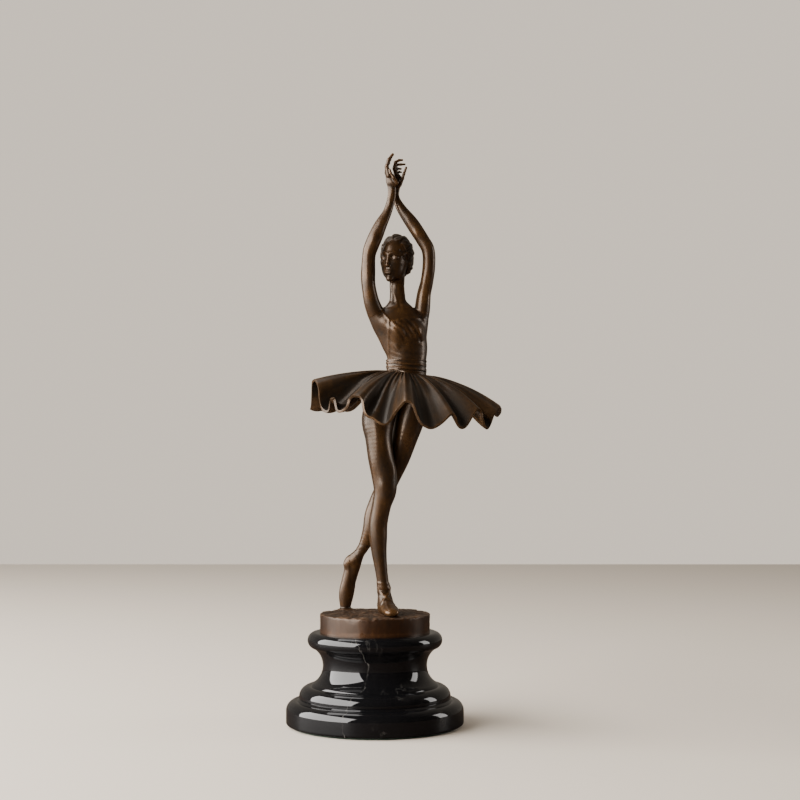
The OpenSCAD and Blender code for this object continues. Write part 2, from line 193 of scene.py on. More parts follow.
patinas = {
    "figureBronze": {
        "places": (0, 0.34, 0.58, 0.8, 1),
        "shades": [(0.003, 0.0018, 0.0012), (0.012, 0.0062, 0.0028), (0.034, 0.0155, 0.0050),
                   (0.075, 0.036, 0.0125), (0.16, 0.088, 0.038)],
        "wear": 0.5, "rough": 0.31, "mottle": 0.6, "pits": 0.05,
    },
    "skirtBronze": {
        "places": (0, 0.4, 0.62, 0.82, 1),
        "shades": [(0.003, 0.002, 0.0014), (0.0095, 0.0058, 0.0032), (0.024, 0.0120, 0.0046),
                   (0.058, 0.030, 0.0125), (0.13, 0.085, 0.048)],
        "wear": 0.5, "rough": 0.36, "mottle": 0.45, "pits": 0.06,
    },
    "hairBronze": {
        "places": (0, 0.4, 0.62, 0.82, 1),
        "shades": [(0.004, 0.003, 0.0024), (0.015, 0.0094, 0.0058), (0.032, 0.0195, 0.0112),
                   (0.070, 0.044, 0.0255), (0.15, 0.102, 0.062)],
        "wear": 0.7, "rough": 0.36, "mottle": 0.5, "pits": 0.1,
    },
    "plinthBronze": {
        "places": (0, 0.36, 0.6, 0.82, 1),
        "shades": [(0.004, 0.0017, 0.0008), (0.014, 0.0052, 0.0018), (0.028, 0.0105, 0.0036),
                   (0.060, 0.026, 0.010), (0.14, 0.075, 0.036)],
        "wear": 0.35, "rough": 0.34, "mottle": 0.5, "pits": 0.04,
    },
    "earthBronze": {
        "places": (0, 0.4, 0.65, 0.85, 1),
        "shades": [(0.004, 0.0025, 0.0018), (0.022, 0.0105, 0.005), (0.05, 0.024, 0.011),
                   (0.11, 0.062, 0.034), (0.2, 0.13, 0.08)],
        "wear": 0.9, "rough": 0.46, "mottle": 0.6, "pits": 0.4,
    },
}
# Clouds, streaks and flecks on every bronze: their grain, half its spread, and their share.
marks = [((55, 6, 0.62), 0.2, 0.5), ((90, 4, 0.6, (1, 1, 0.22), 0.6), 0.18, 0.32),
         ((420, 3, 0.6), 0.15, 0.16)]
bronzeGloss = {"Metallic": 0.3, "IOR": 1.5, "Specular Tint": (1, 0.86, 0.72, 1), "Coat Weight": 0.12,
               "Coat Roughness": 0.2}


def patina(name):
    look = patinas[name]
    paint = Paint(bpy.data.materials.new(name))
    laid = [paint.span(paint.grain(*kind), 0.5 - half, 0.5 + half, -0.5, 0.5) for kind, half, share in marks]
    mottle = 0
    for mark, (kind, half, share) in zip(laid, marks):
        mottle = paint.maths(mottle, paint.maths(mark, share, "MULTIPLY"))
    wear = paint.node("Attribute", {}, attribute_name="wear")["Fac"]
    rub = paint.maths(wear, 0.5 * look["wear"], "MULTIPLY")
    tone = paint.maths(paint.maths(paint.maths(mottle, look["mottle"], "MULTIPLY"), 0.5), rub)
    dull = paint.maths(paint.span(laid[0], -0.5, 0.5, 0.07, -0.07), paint.span(tone, 0.2, 0.9, 0.12, -0.05))
    swirl, pits = paint.grain(260, 4, 0.6), paint.grain(1500, 3, 0.7)
    return paint.finish({
        "Base Color": paint.shades(tone, list(zip(look["places"], look["shades"]))),
        "Roughness": paint.maths(dull, look["rough"]), **bronzeGloss,
        **paint.bumps([(swirl, 0.5, look["pits"]), (pits, 0.18, look["pits"])]),
    })


# clay: a grid of distances to the surface in millimetres, below zero inside

class Clay:
    def __init__(self, low, high, step):
        self.low = np.array(low, np.float32)
        self.step = step * rough
        self.count = [int((b - a) / self.step) + 2 for a, b in zip(low, high)]
        self.field = np.full(self.count, 9, np.float32)

    def patch(self, low, high):
        spans, axes = [], []
        for i in range(3):
            a = max(0, int((low[i] - self.low[i]) / self.step))
            b = min(self.count[i], int((high[i] - self.low[i]) / self.step) + 2)
            if b - a < 1:
                return None
            spans.append(slice(a, b))
            axes.append(self.low[i] + self.step * np.arange(a, b, dtype=np.float32))
        x, y, z = axes
        return tuple(spans), x[:, None, None], y[None, :, None], z[None, None, :]

    def add(self, shape, soft=1.5):
        low, high, distance = shape
        found = self.patch(np.subtract(low, soft + 1.5), np.add(high, soft + 1.5))
        if found:
            spot, x, y, z = found
            self.field[spot] = meld(self.field[spot], distance(x, y, z), soft)

    def swells(self, forms):
        for centre, reach, height in forms:
            self.swell(centre, reach, height)

    def swell(self, centre, reach, height, turn=(0, 0, 0)):
        # A smooth bump, or a hollow when its height is below zero.
        wide = 2.3 * max(reach)
        found = self.patch(np.subtract(centre, wide), np.add(centre, wide))
        if found:
            spot, x, y, z = found
            u, v, w = turned(x, y, z, centre, turn)
            q = (u / reach[0]) ** 2 + (v / reach[1]) ** 2 + (w / reach[2]) ** 2
            self.field[spot] -= height * np.exp(-q)

    def nearLine(self, points, reach, seenFlat=False):
        # How far each place is from a line; seenFlat measures it as seen along Y.
        near = np.full(self.count, 9, np.float32)
        low, high = points.min(0) - reach, points.max(0) + reach
        if seenFlat:
            low[1], high[1] = -80, 80
        for p, q in zip(points[:-1], points[1:]):
            start, end = np.minimum(p, q) - reach, np.maximum(p, q) + reach
            if seenFlat:
                start[1], end[1] = -80, 80
            found = self.patch(start, end)
            if found:
                spot, x, y, z = found
                near[spot] = np.minimum(near[spot], alongLine(x, y * (not seenFlat), z, p, q)[1])
        found = self.patch(low, high)
        return (found[0], near[found[0]], found[2]) if found else (None, None, None)

    def stroke(self, points, height, width, flat=False):
        # A ridge along a line on the surface, or a groove below zero; flat gives a ribbon.
        spot, near, y = self.nearLine(np.array(points, np.float32), 2.5 * width)
        if spot is not None:
            ridge = fade((near - width) / 0.14) if flat else np.exp(-(near / width) ** 2)
            self.field[spot] -= height * ridge

    def front(self, points, height, width, deep):
        # As stroke, but drawn on the front, through points (x, z) as seen along Y.
        points = np.array([(x, 0, z) for x, z in points], np.float32)
        spot, near, y = self.nearLine(points, 2.5 * width, True)
        if spot is not None:
            self.field[spot] -= height * np.exp(-(near / width) ** 2) * fade((y - deep) / 0.8)

    def limb(self, stations, soft=1.5, parts=5):
        # Limb through stations (x, y, z, half width, half depth) square to its own run.
        runs = through(stations, parts)
        whole = np.full(self.count, 9, np.float32)
        for p, q in zip(runs[:-1], runs[1:]):
            run = q[:3] - p[:3]
            length = np.linalg.norm(run)
            d = run / length
            u = np.array((1, 0, 0)) - d[0] * d
            u /= np.linalg.norm(u)
            v = np.cross(d, u)
            wide = max(p[3:5].max(), q[3:5].max()) + 3
            found = self.patch(np.minimum(p[:3], q[:3]) - wide, np.maximum(p[:3], q[:3]) + wide)
            if not found:
                continue
            spot, x, y, z = found
            dx, dy, dz = x - p[0], y - p[1], z - p[2]
            along = dx * d[0] + dy * d[1] + dz * d[2]
            t = np.clip(along / length, 0, 1)
            past = along - t * length
            a, b = p[3] + (q[3] - p[3]) * t, p[4] + (q[4] - p[4]) * t
            c = np.minimum(a, b)
            e = (dx * u[0] + dy * u[1] + dz * u[2]) / a
            g = (dx * v[0] + dy * v[1] + dz * v[2]) / b
            h = past / c
            k0 = np.sqrt(e * e + g * g + h * h)
            k1 = np.sqrt((e / a) ** 2 + (g / b) ** 2 + (h / c) ** 2) + 1e-5
            whole[spot] = np.minimum(whole[spot], k0 * (k0 - 1) / k1)
        for axis in (0, 1, 2, 0, 1, 2):
            whole = (np.roll(whole, 1, axis) + 2 * whole + np.roll(whole, -1, axis)) / 4
        self.field = meld(self.field, whole, soft)


def through(stations, parts):
    # Smooth run through every station, each stretch in the same number of parts.
    s = np.array(stations, float)
    s = np.vstack([s[:1], s, s[-1:]])
    runs = []
    for i in range(1, len(s) - 2):
        for t in np.arange(parts) / parts:
            runs.append(0.5 * (2 * s[i] + (s[i + 1] - s[i - 1]) * t
                               + (2 * s[i - 1] - 5 * s[i] + 4 * s[i + 1] - s[i + 2]) * t * t
                               + (3 * s[i] - s[i - 1] - 3 * s[i + 1] + s[i + 2]) * t ** 3))
    runs.append(s[-1])
    return np.array(runs)


def meld(a, b, soft):
    h = np.maximum(soft - np.abs(a - b), 0) / soft
    return np.minimum(a, b) - h * h * soft / 4


def turned(x, y, z, centre, turn):
    dx, dy, dz = x - centre[0], y - centre[1], z - centre[2]
    if not any(turn):
        return dx, dy, dz
    m = Euler([math.radians(t) for t in turn]).to_matrix().transposed()
    return tuple(m[i][0] * dx + m[i][1] * dy + m[i][2] * dz for i in range(3))


def fade(x):
    # One far below zero, none far above it.
    return 1 / (1 + np.exp(np.clip(x, -30, 30)))


def alongLine(x, y, z, p, q):
    # How far along the line from p to q each place is, as a share of it, and how far from it.
    d = np.subtract(q, p)
    t = ((x - p[0]) * d[0] + (y - p[1]) * d[1] + (z - p[2]) * d[2]) / max(float((d * d).sum()), 1e-6)
    t = np.clip(t, 0, 1)
    off = (x - p[0] - t * d[0]) ** 2 + (y - p[1] - t * d[1]) ** 2 + (z - p[2] - t * d[2]) ** 2
    return t, np.sqrt(off)


def egg(centre, radii, turn=(0, 0, 0)):
    wide = max(radii) if any(turn) else np.array(radii)

    def distance(x, y, z):
        u, v, w = turned(x, y, z, centre, turn)
        a, b, c = radii
        k0 = np.sqrt((u / a) ** 2 + (v / b) ** 2 + (w / c) ** 2)
        k1 = np.sqrt((u / a ** 2) ** 2 + (v / b ** 2) ** 2 + (w / c ** 2) ** 2) + 1e-5
        return k0 * (k0 - 1) / k1
    return np.subtract(centre, wide), np.add(centre, wide), distance


def rod(p, q, atP, atQ):
    def distance(x, y, z):
        t, far = alongLine(x, y, z, p, q)
        return far - (atP + (atQ - atP) * t)
    r = max(atP, atQ)
    return np.minimum(p, q) - r, np.maximum(p, q) + r, distance


def eased(stations, at):
    # Smooth run of every column of the stations at the heights asked for; the first column is the height.
    s = np.array(stations, np.float32)
    z = s[:, 0]
    slope = np.gradient(s, z, axis=0)
    i = np.clip(np.searchsorted(z, at) - 1, 0, len(z) - 2)
    h = (z[i + 1] - z[i])[:, None]
    t = np.clip((at - z[i])[:, None] / h, 0, 1)
    return ((2 * t ** 3 - 3 * t ** 2 + 1) * s[i] + (t ** 3 - 2 * t ** 2 + t) * h * slope[i]
            + (3 * t ** 2 - 2 * t ** 3) * s[i + 1] + (t ** 3 - t ** 2) * h * slope[i + 1])


def column(stations):
    # Body built of level sections: (height, x, y, half width, half depth, turn in degrees).
    s = np.array(stations, float)
    reach = s[:, 3:5].max(1)
    low = ((s[:, 1] - reach).min(), (s[:, 2] - reach).min(), s[0, 0])
    high = ((s[:, 1] + reach).max(), (s[:, 2] + reach).max(), s[-1, 0])

    def distance(x, y, z):
        level = np.clip(z.ravel(), s[0, 0], s[-1, 0])
        r = eased(stations, level)
        ahead = eased(stations, level + 0.5)
        back = eased(stations, level - 0.5)
        lean = 1 / np.sqrt(1 + (ahead[:, 1] - back[:, 1]) ** 2 + (ahead[:, 2] - back[:, 2]) ** 2)
        cx, cy, a, b = (r[:, i].astype(np.float32) for i in (1, 2, 3, 4))
        c, e = np.cos(np.radians(r[:, 5])), np.sin(np.radians(r[:, 5]))
        dx, dy = x - cx, y - cy
        u, v = dx * c + dy * e, dy * c - dx * e
        k0 = np.sqrt((u / a) ** 2 + (v / b) ** 2)
        k1 = np.sqrt((u / a ** 2) ** 2 + (v / b ** 2) ** 2) + 1e-5
        side = k0 * (k0 - 1) / k1 * lean
        return np.maximum(side, np.maximum(z - s[-1, 0], s[0, 0] - z)).astype(np.float32)
    return low, high, distance


def readField(clay, points):
    f = clay.field
    at = np.clip((points - clay.low) / clay.step, 0, np.array(f.shape) - 1.001)
    i = at.astype(int)
    t = at - i
    total = 0
    for a in (0, 1):
        for b in (0, 1):
            for c in (0, 1):
                w = (np.abs(1 - a - t[:, 0]) * np.abs(1 - b - t[:, 1]) * np.abs(1 - c - t[:, 2]))
                total = total + w * f[i[:, 0] + a, i[:, 1] + b, i[:, 2] + c]
    return total


def slopeAt(clay, points, reach):
    return np.stack([readField(clay, points + reach * way) - readField(clay, points - reach * way)
                     for way in np.eye(3)], 1) / (2 * reach)


def neighbourMean(points, edges):
    total = np.empty_like(points)
    degree = np.maximum(np.bincount(edges.ravel(), minlength=len(points)), 1)
    for axis in range(points.shape[1]):
        values = points[:, axis]
        total[:, axis] = (np.bincount(edges[:, 0], values[edges[:, 1]], len(points))
                          + np.bincount(edges[:, 1], values[edges[:, 0]], len(points)))
    return total / degree[:, None]


def fire(clay, name, place=None):
    # Turns the clay into a mesh: one point in each cell that the surface crosses, then eased onto it.
    f = clay.field
    n = f.shape
    inside = f < 0
    corners = [(i, j, k) for i in (0, 1) for j in (0, 1) for k in (0, 1)]
    full = sum(inside[i:n[0] - 1 + i, j:n[1] - 1 + j, k:n[2] - 1 + k].astype(np.int8) for i, j, k in corners)
    cells = np.argwhere((full > 0) & (full < 8))
    number = np.full([c - 1 for c in n], -1, np.int32)
    number[tuple(cells.T)] = np.arange(len(cells))
    value = np.stack([f[tuple((cells + c).T)] for c in corners], 1).astype(float)
    spot, hits = np.zeros((len(cells), 3)), np.zeros(len(cells))
    for a in range(8):
        for b in range(a + 1, 8):
            way = np.subtract(corners[b], corners[a])
            if np.abs(way).sum() == 1:
                cross = (value[:, a] < 0) != (value[:, b] < 0)
                t = np.where(cross, value[:, a] / np.where(cross, value[:, a] - value[:, b], 1), 0)
                spot += (np.array(corners[a]) + t[:, None] * way) * cross[:, None]
                hits += cross
    points = clay.low + clay.step * (cells + spot / hits[:, None])
    quads = []
    for axis in range(3):
        b, c = (axis + 1) % 3, (axis + 2) % 3
        first = [slice(1, -1)] * 3
        first[axis] = slice(0, -1)
        second = list(first)
        second[axis] = slice(1, None)
        one, two = inside[tuple(first)], inside[tuple(second)]
        for flip in (False, True):
            edge = np.argwhere(two & ~one if flip else one & ~two)
            edge[:, b] += 1
            edge[:, c] += 1
            ring = []
            for db, dc in ((-1, -1), (0, -1), (0, 0), (-1, 0)):
                cell = edge.copy()
                cell[:, b] += db
                cell[:, c] += dc
                ring.append(number[tuple(cell.T)])
            quads.append(np.stack(ring[::-1] if flip else ring, 1))
    quads = np.concatenate(quads)
    edges = np.unique(np.sort(np.concatenate([quads[:, [i, (i + 1) % 4]] for i in range(4)]), 1), axis=0)
    for turn in range(3):
        points = 0.45 * points + 0.55 * neighbourMean(points, edges)
        for again in range(2):
            here, slope = readField(clay, points), slopeAt(clay, points, 0.5 * clay.step)
            steep = np.maximum((slope ** 2).sum(1), 0.2)
            points = points - np.clip(here / steep, -clay.step, clay.step)[:, None] * slope
    if place:
        points = place(points)
    # the points are in the dancer's own millimetres
    mesh = bpy.data.meshes.new(name)
    whole = (np.asarray(points, float) + (0, 0, ground)) * mm
    mesh.from_pydata(whole.tolist(), [], quads.tolist())
    mesh.update()
    smoothen(mesh)
    return hold(name, mesh)


def smoothen(mesh):
    mesh.polygons.foreach_set("use_smooth", np.ones(len(mesh.polygons), bool))


def readPoints(mesh):
    points = np.empty(len(mesh.vertices) * 3)
    mesh.vertices.foreach_get("co", points)
    return points.reshape(-1, 3)


def writePoints(mesh, points):
    mesh.vertices.foreach_set("co", points.ravel())
    mesh.update()


def edit(piece, *steps):
    # Takes the whole of a piece through steps of mesh editing, each a tool and its settings.
    bpy.ops.object.select_all(action="DESELECT")
    bpy.context.view_layer.objects.active = piece
    piece.select_set(True)
    if steps:
        bpy.ops.object.mode_set(mode="EDIT")
        for tool, settings in steps:
            bpy.ops.mesh.select_all(action="SELECT")
            tool(**settings)
        bpy.ops.object.mode_set(mode="OBJECT")


def joinUp(reach):
    # Steps that join points closer than a reach in millimetres and turn the faces outwards.
    return ((bpy.ops.mesh.remove_doubles, {"threshold": reach * mm}),
            (bpy.ops.mesh.normals_make_consistent, {"inside": False}))


def cutAt(piece, at, up, below):
    # Cuts a piece at a plane through a point and closes it; up points out of the plane, and the part
    # below it stays, or the part above.
    middle = Vector(at) * mm + Vector((0, 0, ground * mm))
    edit(piece, (bpy.ops.mesh.bisect, {"plane_co": middle, "plane_no": up, "use_fill": True,
                                       "clear_inner": not below, "clear_outer": below}))


def addWear(piece, rounds, reach, ease=3):
    # Writes how far each point stands out from its surroundings, which the patina is rubbed by.
    mesh = piece.data
    points = readPoints(mesh) / mm
    normals = np.empty(len(points) * 3)
    mesh.vertex_normals.foreach_get("vector", normals)
    edges = np.empty(len(mesh.edges) * 2, int)
    mesh.edges.foreach_get("vertices", edges)
    edges = edges.reshape(-1, 2)
    flat = points
    for turn in range(rounds):
        flat = neighbourMean(flat, edges)
    out = ((points - flat) * normals.reshape(-1, 3)).sum(1)[:, None]
    for turn in range(ease):
        out = neighbourMean(out, edges)
    attribute = mesh.attributes.new("wear", "FLOAT", "POINT")
    attribute.data.foreach_set("value", np.clip(out[:, 0] / reach, -1, 1).astype(np.float32))


def dress(piece, material):
    piece.data.materials.clear()
    piece.data.materials.append(material)


def finishPiece(piece, material, node):
    dress(piece, material)
    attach(piece, "root")
    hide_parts(node)
    print("made", piece.name, len(piece.data.polygons), "faces")


# legs: stations (x, y, z, half width, half depth); swellings (centre, reach, height)

seamAtHip = 168
rightLeg = {
    "run": [(8.4, -4, 4, 5.2, 6.2), (8.4, -4, 6, 5.2, 6.2), (7.5, -0.6, 14, 5.2, 5.8), (6.3, -1, 23, 4.7, 5),
            (4.9, -1.5, 34, 4.9, 5.4), (3.2, -1.5, 47.5, 6, 7), (2.5, -1.8, 60, 7.1, 8.5),
            (2.6, -2.4, 71, 7.4, 8.9), (5.3, -5.6, 85, 7.6, 8.2), (8, -8, 96, 8.9, 8.4),
            (7.2, -8, 108, 9.9, 9), (4.6, -7, 122, 10.1, 10.4), (2.9, -6, 137, 10.5, 12),
            (2.6, -4.6, 152, 13, 13.6), (7, -3.4, 168, 13, 14.2), (8, -3.4, 173, 13, 14)],
    "foot": [(6.4, 4.2, 4.6, 3.4, 3.6), (6.9, 2.4, 5.6, 4.7, 5.5), (8.3, -3, 7.2, 5.2, 6.9),
             (10.2, -11, 5.4, 5.5, 5.3), (12, -19, 3.9, 6.2, 3.8), (13.4, -25.4, 3, 5.4, 2.9),
             (13.9, -27.6, 2.6, 4.4, 2.5)],
    "box": ((-16, -34, -1), (24, 13, 174)), "footSoft": 4,
    # the shoe stands out a little; the height of its edge against y
    "shoeBox": ((-4, -34, -1), (24, 12, 13)), "shoeHigh": 0.42,
    "shoeTop": [(-30, 10), (-20, 9.4), (-17.6, 8.2), (-14, 6.8), (-8, 6.2), (0, 7.4), (5, 9.8), (9, 11.4)],
    # ribbons round the ankle: (bearing, height) pairs, how far they stand out, half width
    "ribbons": [([(-200, 20.6), (20, 19.6), (160, 20.6)], 0.42, 1.5),
                ([(-200, 23.4), (20, 22.6), (160, 23.4)], 0.34, 1.3)],
    "forms": [((7, -16.5, 100), (3.8, 2.6, 4.6), 0.55), ((8, -15, 91), (2.8, 2.4, 3.6), 0.3),
              ((13.8, -13, 113), (3.6, 3.6, 6), 0.9), ((0.2, -14.6, 118), (3.4, 3.4, 9), 0.6),
              ((3.4, -17.6, 138), (5, 4, 15), 0.7), ((8.4, 4.6, 72), (3.4, 3.6, 11), 0.9),
              ((-1.6, 4.8, 75), (3.2, 3.6, 11), 0.7), ((3.4, 7, 60), (1.4, 3, 9), -0.5),
              ((9.6, 0.8, 97), (2.2, 2.4, 8), -0.5), ((11.2, -0.6, 20), (1.9, 2, 2.2), 0.8),
              ((2.6, 0.6, 16.5), (1.8, 1.9, 2.2), 0.8), ((5.4, 5.2, 21), (1.1, 1.8, 9), 0.6),
              ((9.4, 2.6, 22), (1.4, 1.3, 6), -0.6), ((3.6, 3.6, 20), (1.2, 1.3, 5), -0.5),
              ((-4.6, -9.4, 84), (2.4, 3, 5), -0.35)],
}
leftLeg = {
    "run": [(-23.9, 28, 0.6, 2.9, 2.9), (-24, 27.9, 4, 4.4, 3.8), (-23.2, 27, 13, 5.8, 4.3),
            (-20.9, 25.6, 24, 5.6, 4.6), (-17.4, 23.6, 36, 5.8, 4.8), (-12.8, 21, 45, 4.2, 4.5),
            (-8.6, 18.6, 52, 4.6, 5), (-3.4, 15.6, 64, 6.7, 6.9), (-1.1, 14.6, 75, 7.2, 7.3),
            (2.4, 13.4, 86, 7.3, 7), (7.6, 11.4, 97, 7.8, 7.2), (12.6, 10, 108, 8.2, 8),
            (18.2, 8, 121, 9, 9.6), (23.2, 6, 137, 10.2, 11.6), (27.4, 5, 152, 11.6, 13),
            (31.4, 4, 168, 10.6, 13.6), (32.4, 3.8, 173, 10.6, 13.4)],
    # the heel
    "foot": [(-16, 21.6, 42.5, 3, 3.2), (-20.4, 22.6, 39.6, 3.3, 3.4), (-22.4, 23.4, 37, 2.8, 3)],
    "box": ((-34, -13, -2), (46, 35, 174)), "footSoft": 3.5,
    "shoeBox": ((-34, 10, -2), (-6, 35, 46)), "shoeHigh": 0.25,
    "ribbons": [([(-200, 50), (160, 51)], 0.16, 1.2), ([(-200, 47.4), (-100, 42), (-20, 33)], 0.14, 1.0),
                ([(0, 47.4), (-70, 42), (-150, 36)], 0.14, 1.0)],
    "forms": [((9, 3.6, 103), (3.4, 3, 4.2), 0.8), ((-6.6, 13, 74), (3, 4, 9), 0.7),
              ((2, 18, 70), (3.2, 3, 10), 0.7), ((-9, 17.5, 47.5), (1.9, 2, 2.2), 0.6),
              ((-19, 20.6, 33), (2.4, 1.6, 4), -0.5), ((-20, 22, 22), (1.6, 1.6, 8), -0.35)],
}


def around(run, height, angle):
    # A point on a leg's skin at a height and a bearing, with 0 at +X and -90 at the front.
    s = np.array(run, float)
    r = [np.interp(height, s[:, 2], s[:, i]) for i in range(5)]
    a = math.radians(angle)
    return (r[0] + r[3] * math.cos(a), r[1] + r[4] * math.sin(a), height)


def wrap(clay, run, turns, high, wide):
    # A ribbon laid round a leg through (bearing, height) pairs.
    line = []
    for (a, h), (b, g) in zip(turns[:-1], turns[1:]):
        count = max(2, int(abs(b - a) / 15))
        line += [around(run, h + (g - h) * t / count, a + (b - a) * t / count) for t in range(count)]
    clay.stroke(line + [around(run, turns[-1][1], turns[-1][0])], high, wide, flat=True)


def rightShoe(x, y, z):
    # How far a place is above the edge of the shoe.
    edgeY, edgeZ = np.array(rightLeg["shoeTop"]).T
    return z - np.interp(y.ravel(), edgeY, edgeZ)[None, :, None] + 0 * x


def leftShoe(x, y, z):
    return np.minimum(x + 19.4 + (z - 12) * 0.05 + 0 * y, z - 15 - 0.5 * (x + 24) + 0 * y)


def layRightBands(clay):
    # The shoe's crossed bands, from the ankle to the sides of the foot.
    for side in (-1, 1):
        line = [around(rightLeg["run"], 19, -90 - 70 * side), (7.8 - 3.6 * side, -5.6, 16.2),
                (8.8, -8.8, 13.4), (10 + 3.4 * side, -11, 10), (10.6 + 5.2 * side, -11, 6.4)]
        clay.stroke(through(line, 4), 0.5, 1.25, flat=True)


def layLeftTip(clay):
    clay.add(egg((-23.4, 27.2, -0.9), (7.8, 6.4, 2.4)), 1.2)


def makeLeg(name, node, leg, shoeEdge, addMore):
    clay = Clay(*leg["box"], 0.5)
    clay.limb(leg["run"])
    clay.limb(leg["foot"], soft=leg["footSoft"])
    clay.swells(leg["forms"])
    spot, x, y, z = clay.patch(*leg["shoeBox"])
    clay.field[spot] -= leg["shoeHigh"] * fade(shoeEdge(x, y, z) / 0.16)
    for turns, high, wide in leg["ribbons"]:
        wrap(clay, leg["run"], turns, high, wide)
    addMore(clay)
    piece = fire(clay, name)
    cutAt(piece, (0, 0, seamAtHip), (0, 0, 1), True)
    cutAt(piece, (0, 0, 0), (0, 0, 1), False)
    addWear(piece, 14, 0.35)
    finishPiece(piece, patina("figureBronze"), node)


# torso

torso = {
    # level sections: height, x, y, half width, half depth, turn
    "sections": [(160, 19.4, 0, 22, 15, 8), (168, 19.6, 0, 23.4, 15.6, 8), (177, 20.6, -0.6, 21.6, 15, 9),
                 (185, 23.4, -0.8, 17.4, 12.8, 11), (193, 24.6, -0.6, 15.2, 11.4, 13),
                 (200, 25, -0.4, 15.8, 11.6, 15), (208, 23.4, -0.6, 18.2, 12, 16),
                 (216, 21.4, -1, 19.8, 12.4, 16), (224, 20.2, -1, 21.4, 12.2, 16),
                 (231, 19.6, -1.4, 20.4, 11.2, 16), (236, 19, -1.2, 14.6, 9.8, 14),
                 (240.4, 18.6, -0.6, 10.6, 8, 10), (244.5, 17.9, 0.1, 7, 6.4, 5),
                 (250, 17.6, 0.2, 6, 5.8, 0), (258, 17.2, -0.2, 5.7, 5.6, 0),
                 (265, 17.2, 0.4, 5.6, 5.4, 0)],
    "rightShoulder": [(12, -1.4, 219, 8, 8.4), (6.2, -3, 226, 8, 8.2), (0.6, -5.2, 235, 6.8, 7.2),
                      (-2.6, -7.8, 243.5, 6.1, 6.6)],
    "leftShoulder": [(30.6, 4.4, 218, 6.6, 7.4), (34.4, 4.6, 227, 6.6, 7.4), (37, 3.6, 237, 6.2, 6.9),
                     (38.4, 1.4, 250, 5.5, 6)],
    "bust": [((17.2, -10.2, 221), (7.4, 6.2, 7.2)), ((30.2, -6.6, 220.4), (7.2, 6.2, 7.2))],
    "forms": [((20, -14.6, 207.4), (2.2, 2.4, 2.6), -0.9), ((13, -12, 206), (3.4, 3, 9), 0.35),
              ((27, -10.8, 206), (3.4, 3, 9), 0.35), ((26, -9.6, 241), (2.4, 2.4, 2.4), -0.5),
              ((14, -8.6, 242), (3, 2.4, 2.2), -0.5), ((19.2, -7.6, 241), (1.9, 2.2, 2), -0.6),
              ((12, 12.6, 220), (5, 3.4, 8), 1.2), ((30.4, 12.8, 221), (5, 3.4, 8), 1.2),
              ((21, 13.4, 222), (1.8, 3, 14), -1.0), ((23.4, 11.6, 202), (1.8, 3, 10), -1.0),
              ((4.4, -11, 229), (3.6, 3, 3.4), -0.6), ((35.6, -3.4, 231), (3, 3, 3), -0.6)],
    # the bodice is flatter where it turns to the side: the stretch, the way it faces, and how far out
    "flat": {"box": ((-4, -24, 184), (34, 6, 236)), "way": (-0.616, -0.788), "out": 0.7, "lean": 0.29,
             "from": 196, "steep": 0.96, "fuller": 2.3, "middle": 208, "tall": 17, "soft": 2.5},
    # lines drawn on the front, as points (x, z), height and width
    "lines": [
        # neck tendons, collar bones
        ([(12.2, 256), (15, 249), (18, 242)], 0.45, 1.5), ([(22.6, 255), (22, 249), (20.6, 242)], 0.4, 1.4),
        ([(17.6, 240.4), (12, 239.6), (6.4, 239)], 0.35, 1.1),
        ([(21, 240.4), (27, 239.4), (32, 238.8)], 0.35, 1.1),
        # the bodice's top edge, then its strap and side seam
        ([(4.6, 238.4), (7.6, 233.4), (11.2, 228.8), (15.8, 228.6), (20.6, 229.6), (25.4, 231.6),
          (31.4, 231.2), (38.2, 230.2)], 0.42, 0.8),
        ([(11.2, 228.8), (10.6, 220), (10.4, 210), (10.6, 199), (11, 190)], 0.26, 0.9),
    ],
    # draped folds: the deep ones over the bust, then faint ones
    "deepFolds": [((13.6, 227), (20, 222), (24.4, 214.6)), ((18, 228), (24, 223.4), (28.6, 216.6)),
                  ((22.6, 229), (28, 224), (32, 217.4)), ((30.6, 229), (34.4, 222.4), (37.4, 214)),
                  ((26.6, 230), (31.4, 225), (35, 219))],
    "faintFolds": [((13, 216), (18.4, 211.6), (25, 209.6)), ((14, 204), (22, 200.6), (31, 200)),
                   ((12.6, 210), (17, 206), (22.6, 204.6)), ((25.6, 214), (31, 210.6), (37, 210)),
                   ((28, 206), (33, 203.6), (38, 204))],
}


def pastSeam(name, x, y, z):
    # How far a place is beyond the seam of an arm, along the arm.
    a, b = (np.array(s[:3]) for s in torso[name][1:3])
    n = (b - a) / np.linalg.norm(b - a)
    return (x - b[0]) * n[0] + (y - b[1]) * n[1] + (z - b[2]) * n[2]


def armSide(name, x, z):
    # Above zero on the arm's side of the shoulder, below zero towards the neck.
    return (9.5 - x if name == "rightShoulder" else x - 29.5) + 0 * z


def layTrunk(clay):
    clay.add(column(torso["sections"]))
    for run in ("rightShoulder", "leftShoulder"):
        clay.limb(torso[run], soft=3.5)


def flattenSide(clay):
    flat = torso["flat"]
    spot, x, y, z = clay.patch(*flat["box"])
    side = flat["way"][0] * x + flat["way"][1] * y + flat["out"] - flat["lean"] * (z - flat["from"])
    fuller = flat["fuller"] * np.exp(-((z - flat["middle"]) / flat["tall"]) ** 4)
    clay.field[spot] = -meld(-clay.field[spot], -(flat["steep"] * side + fuller), flat["soft"])


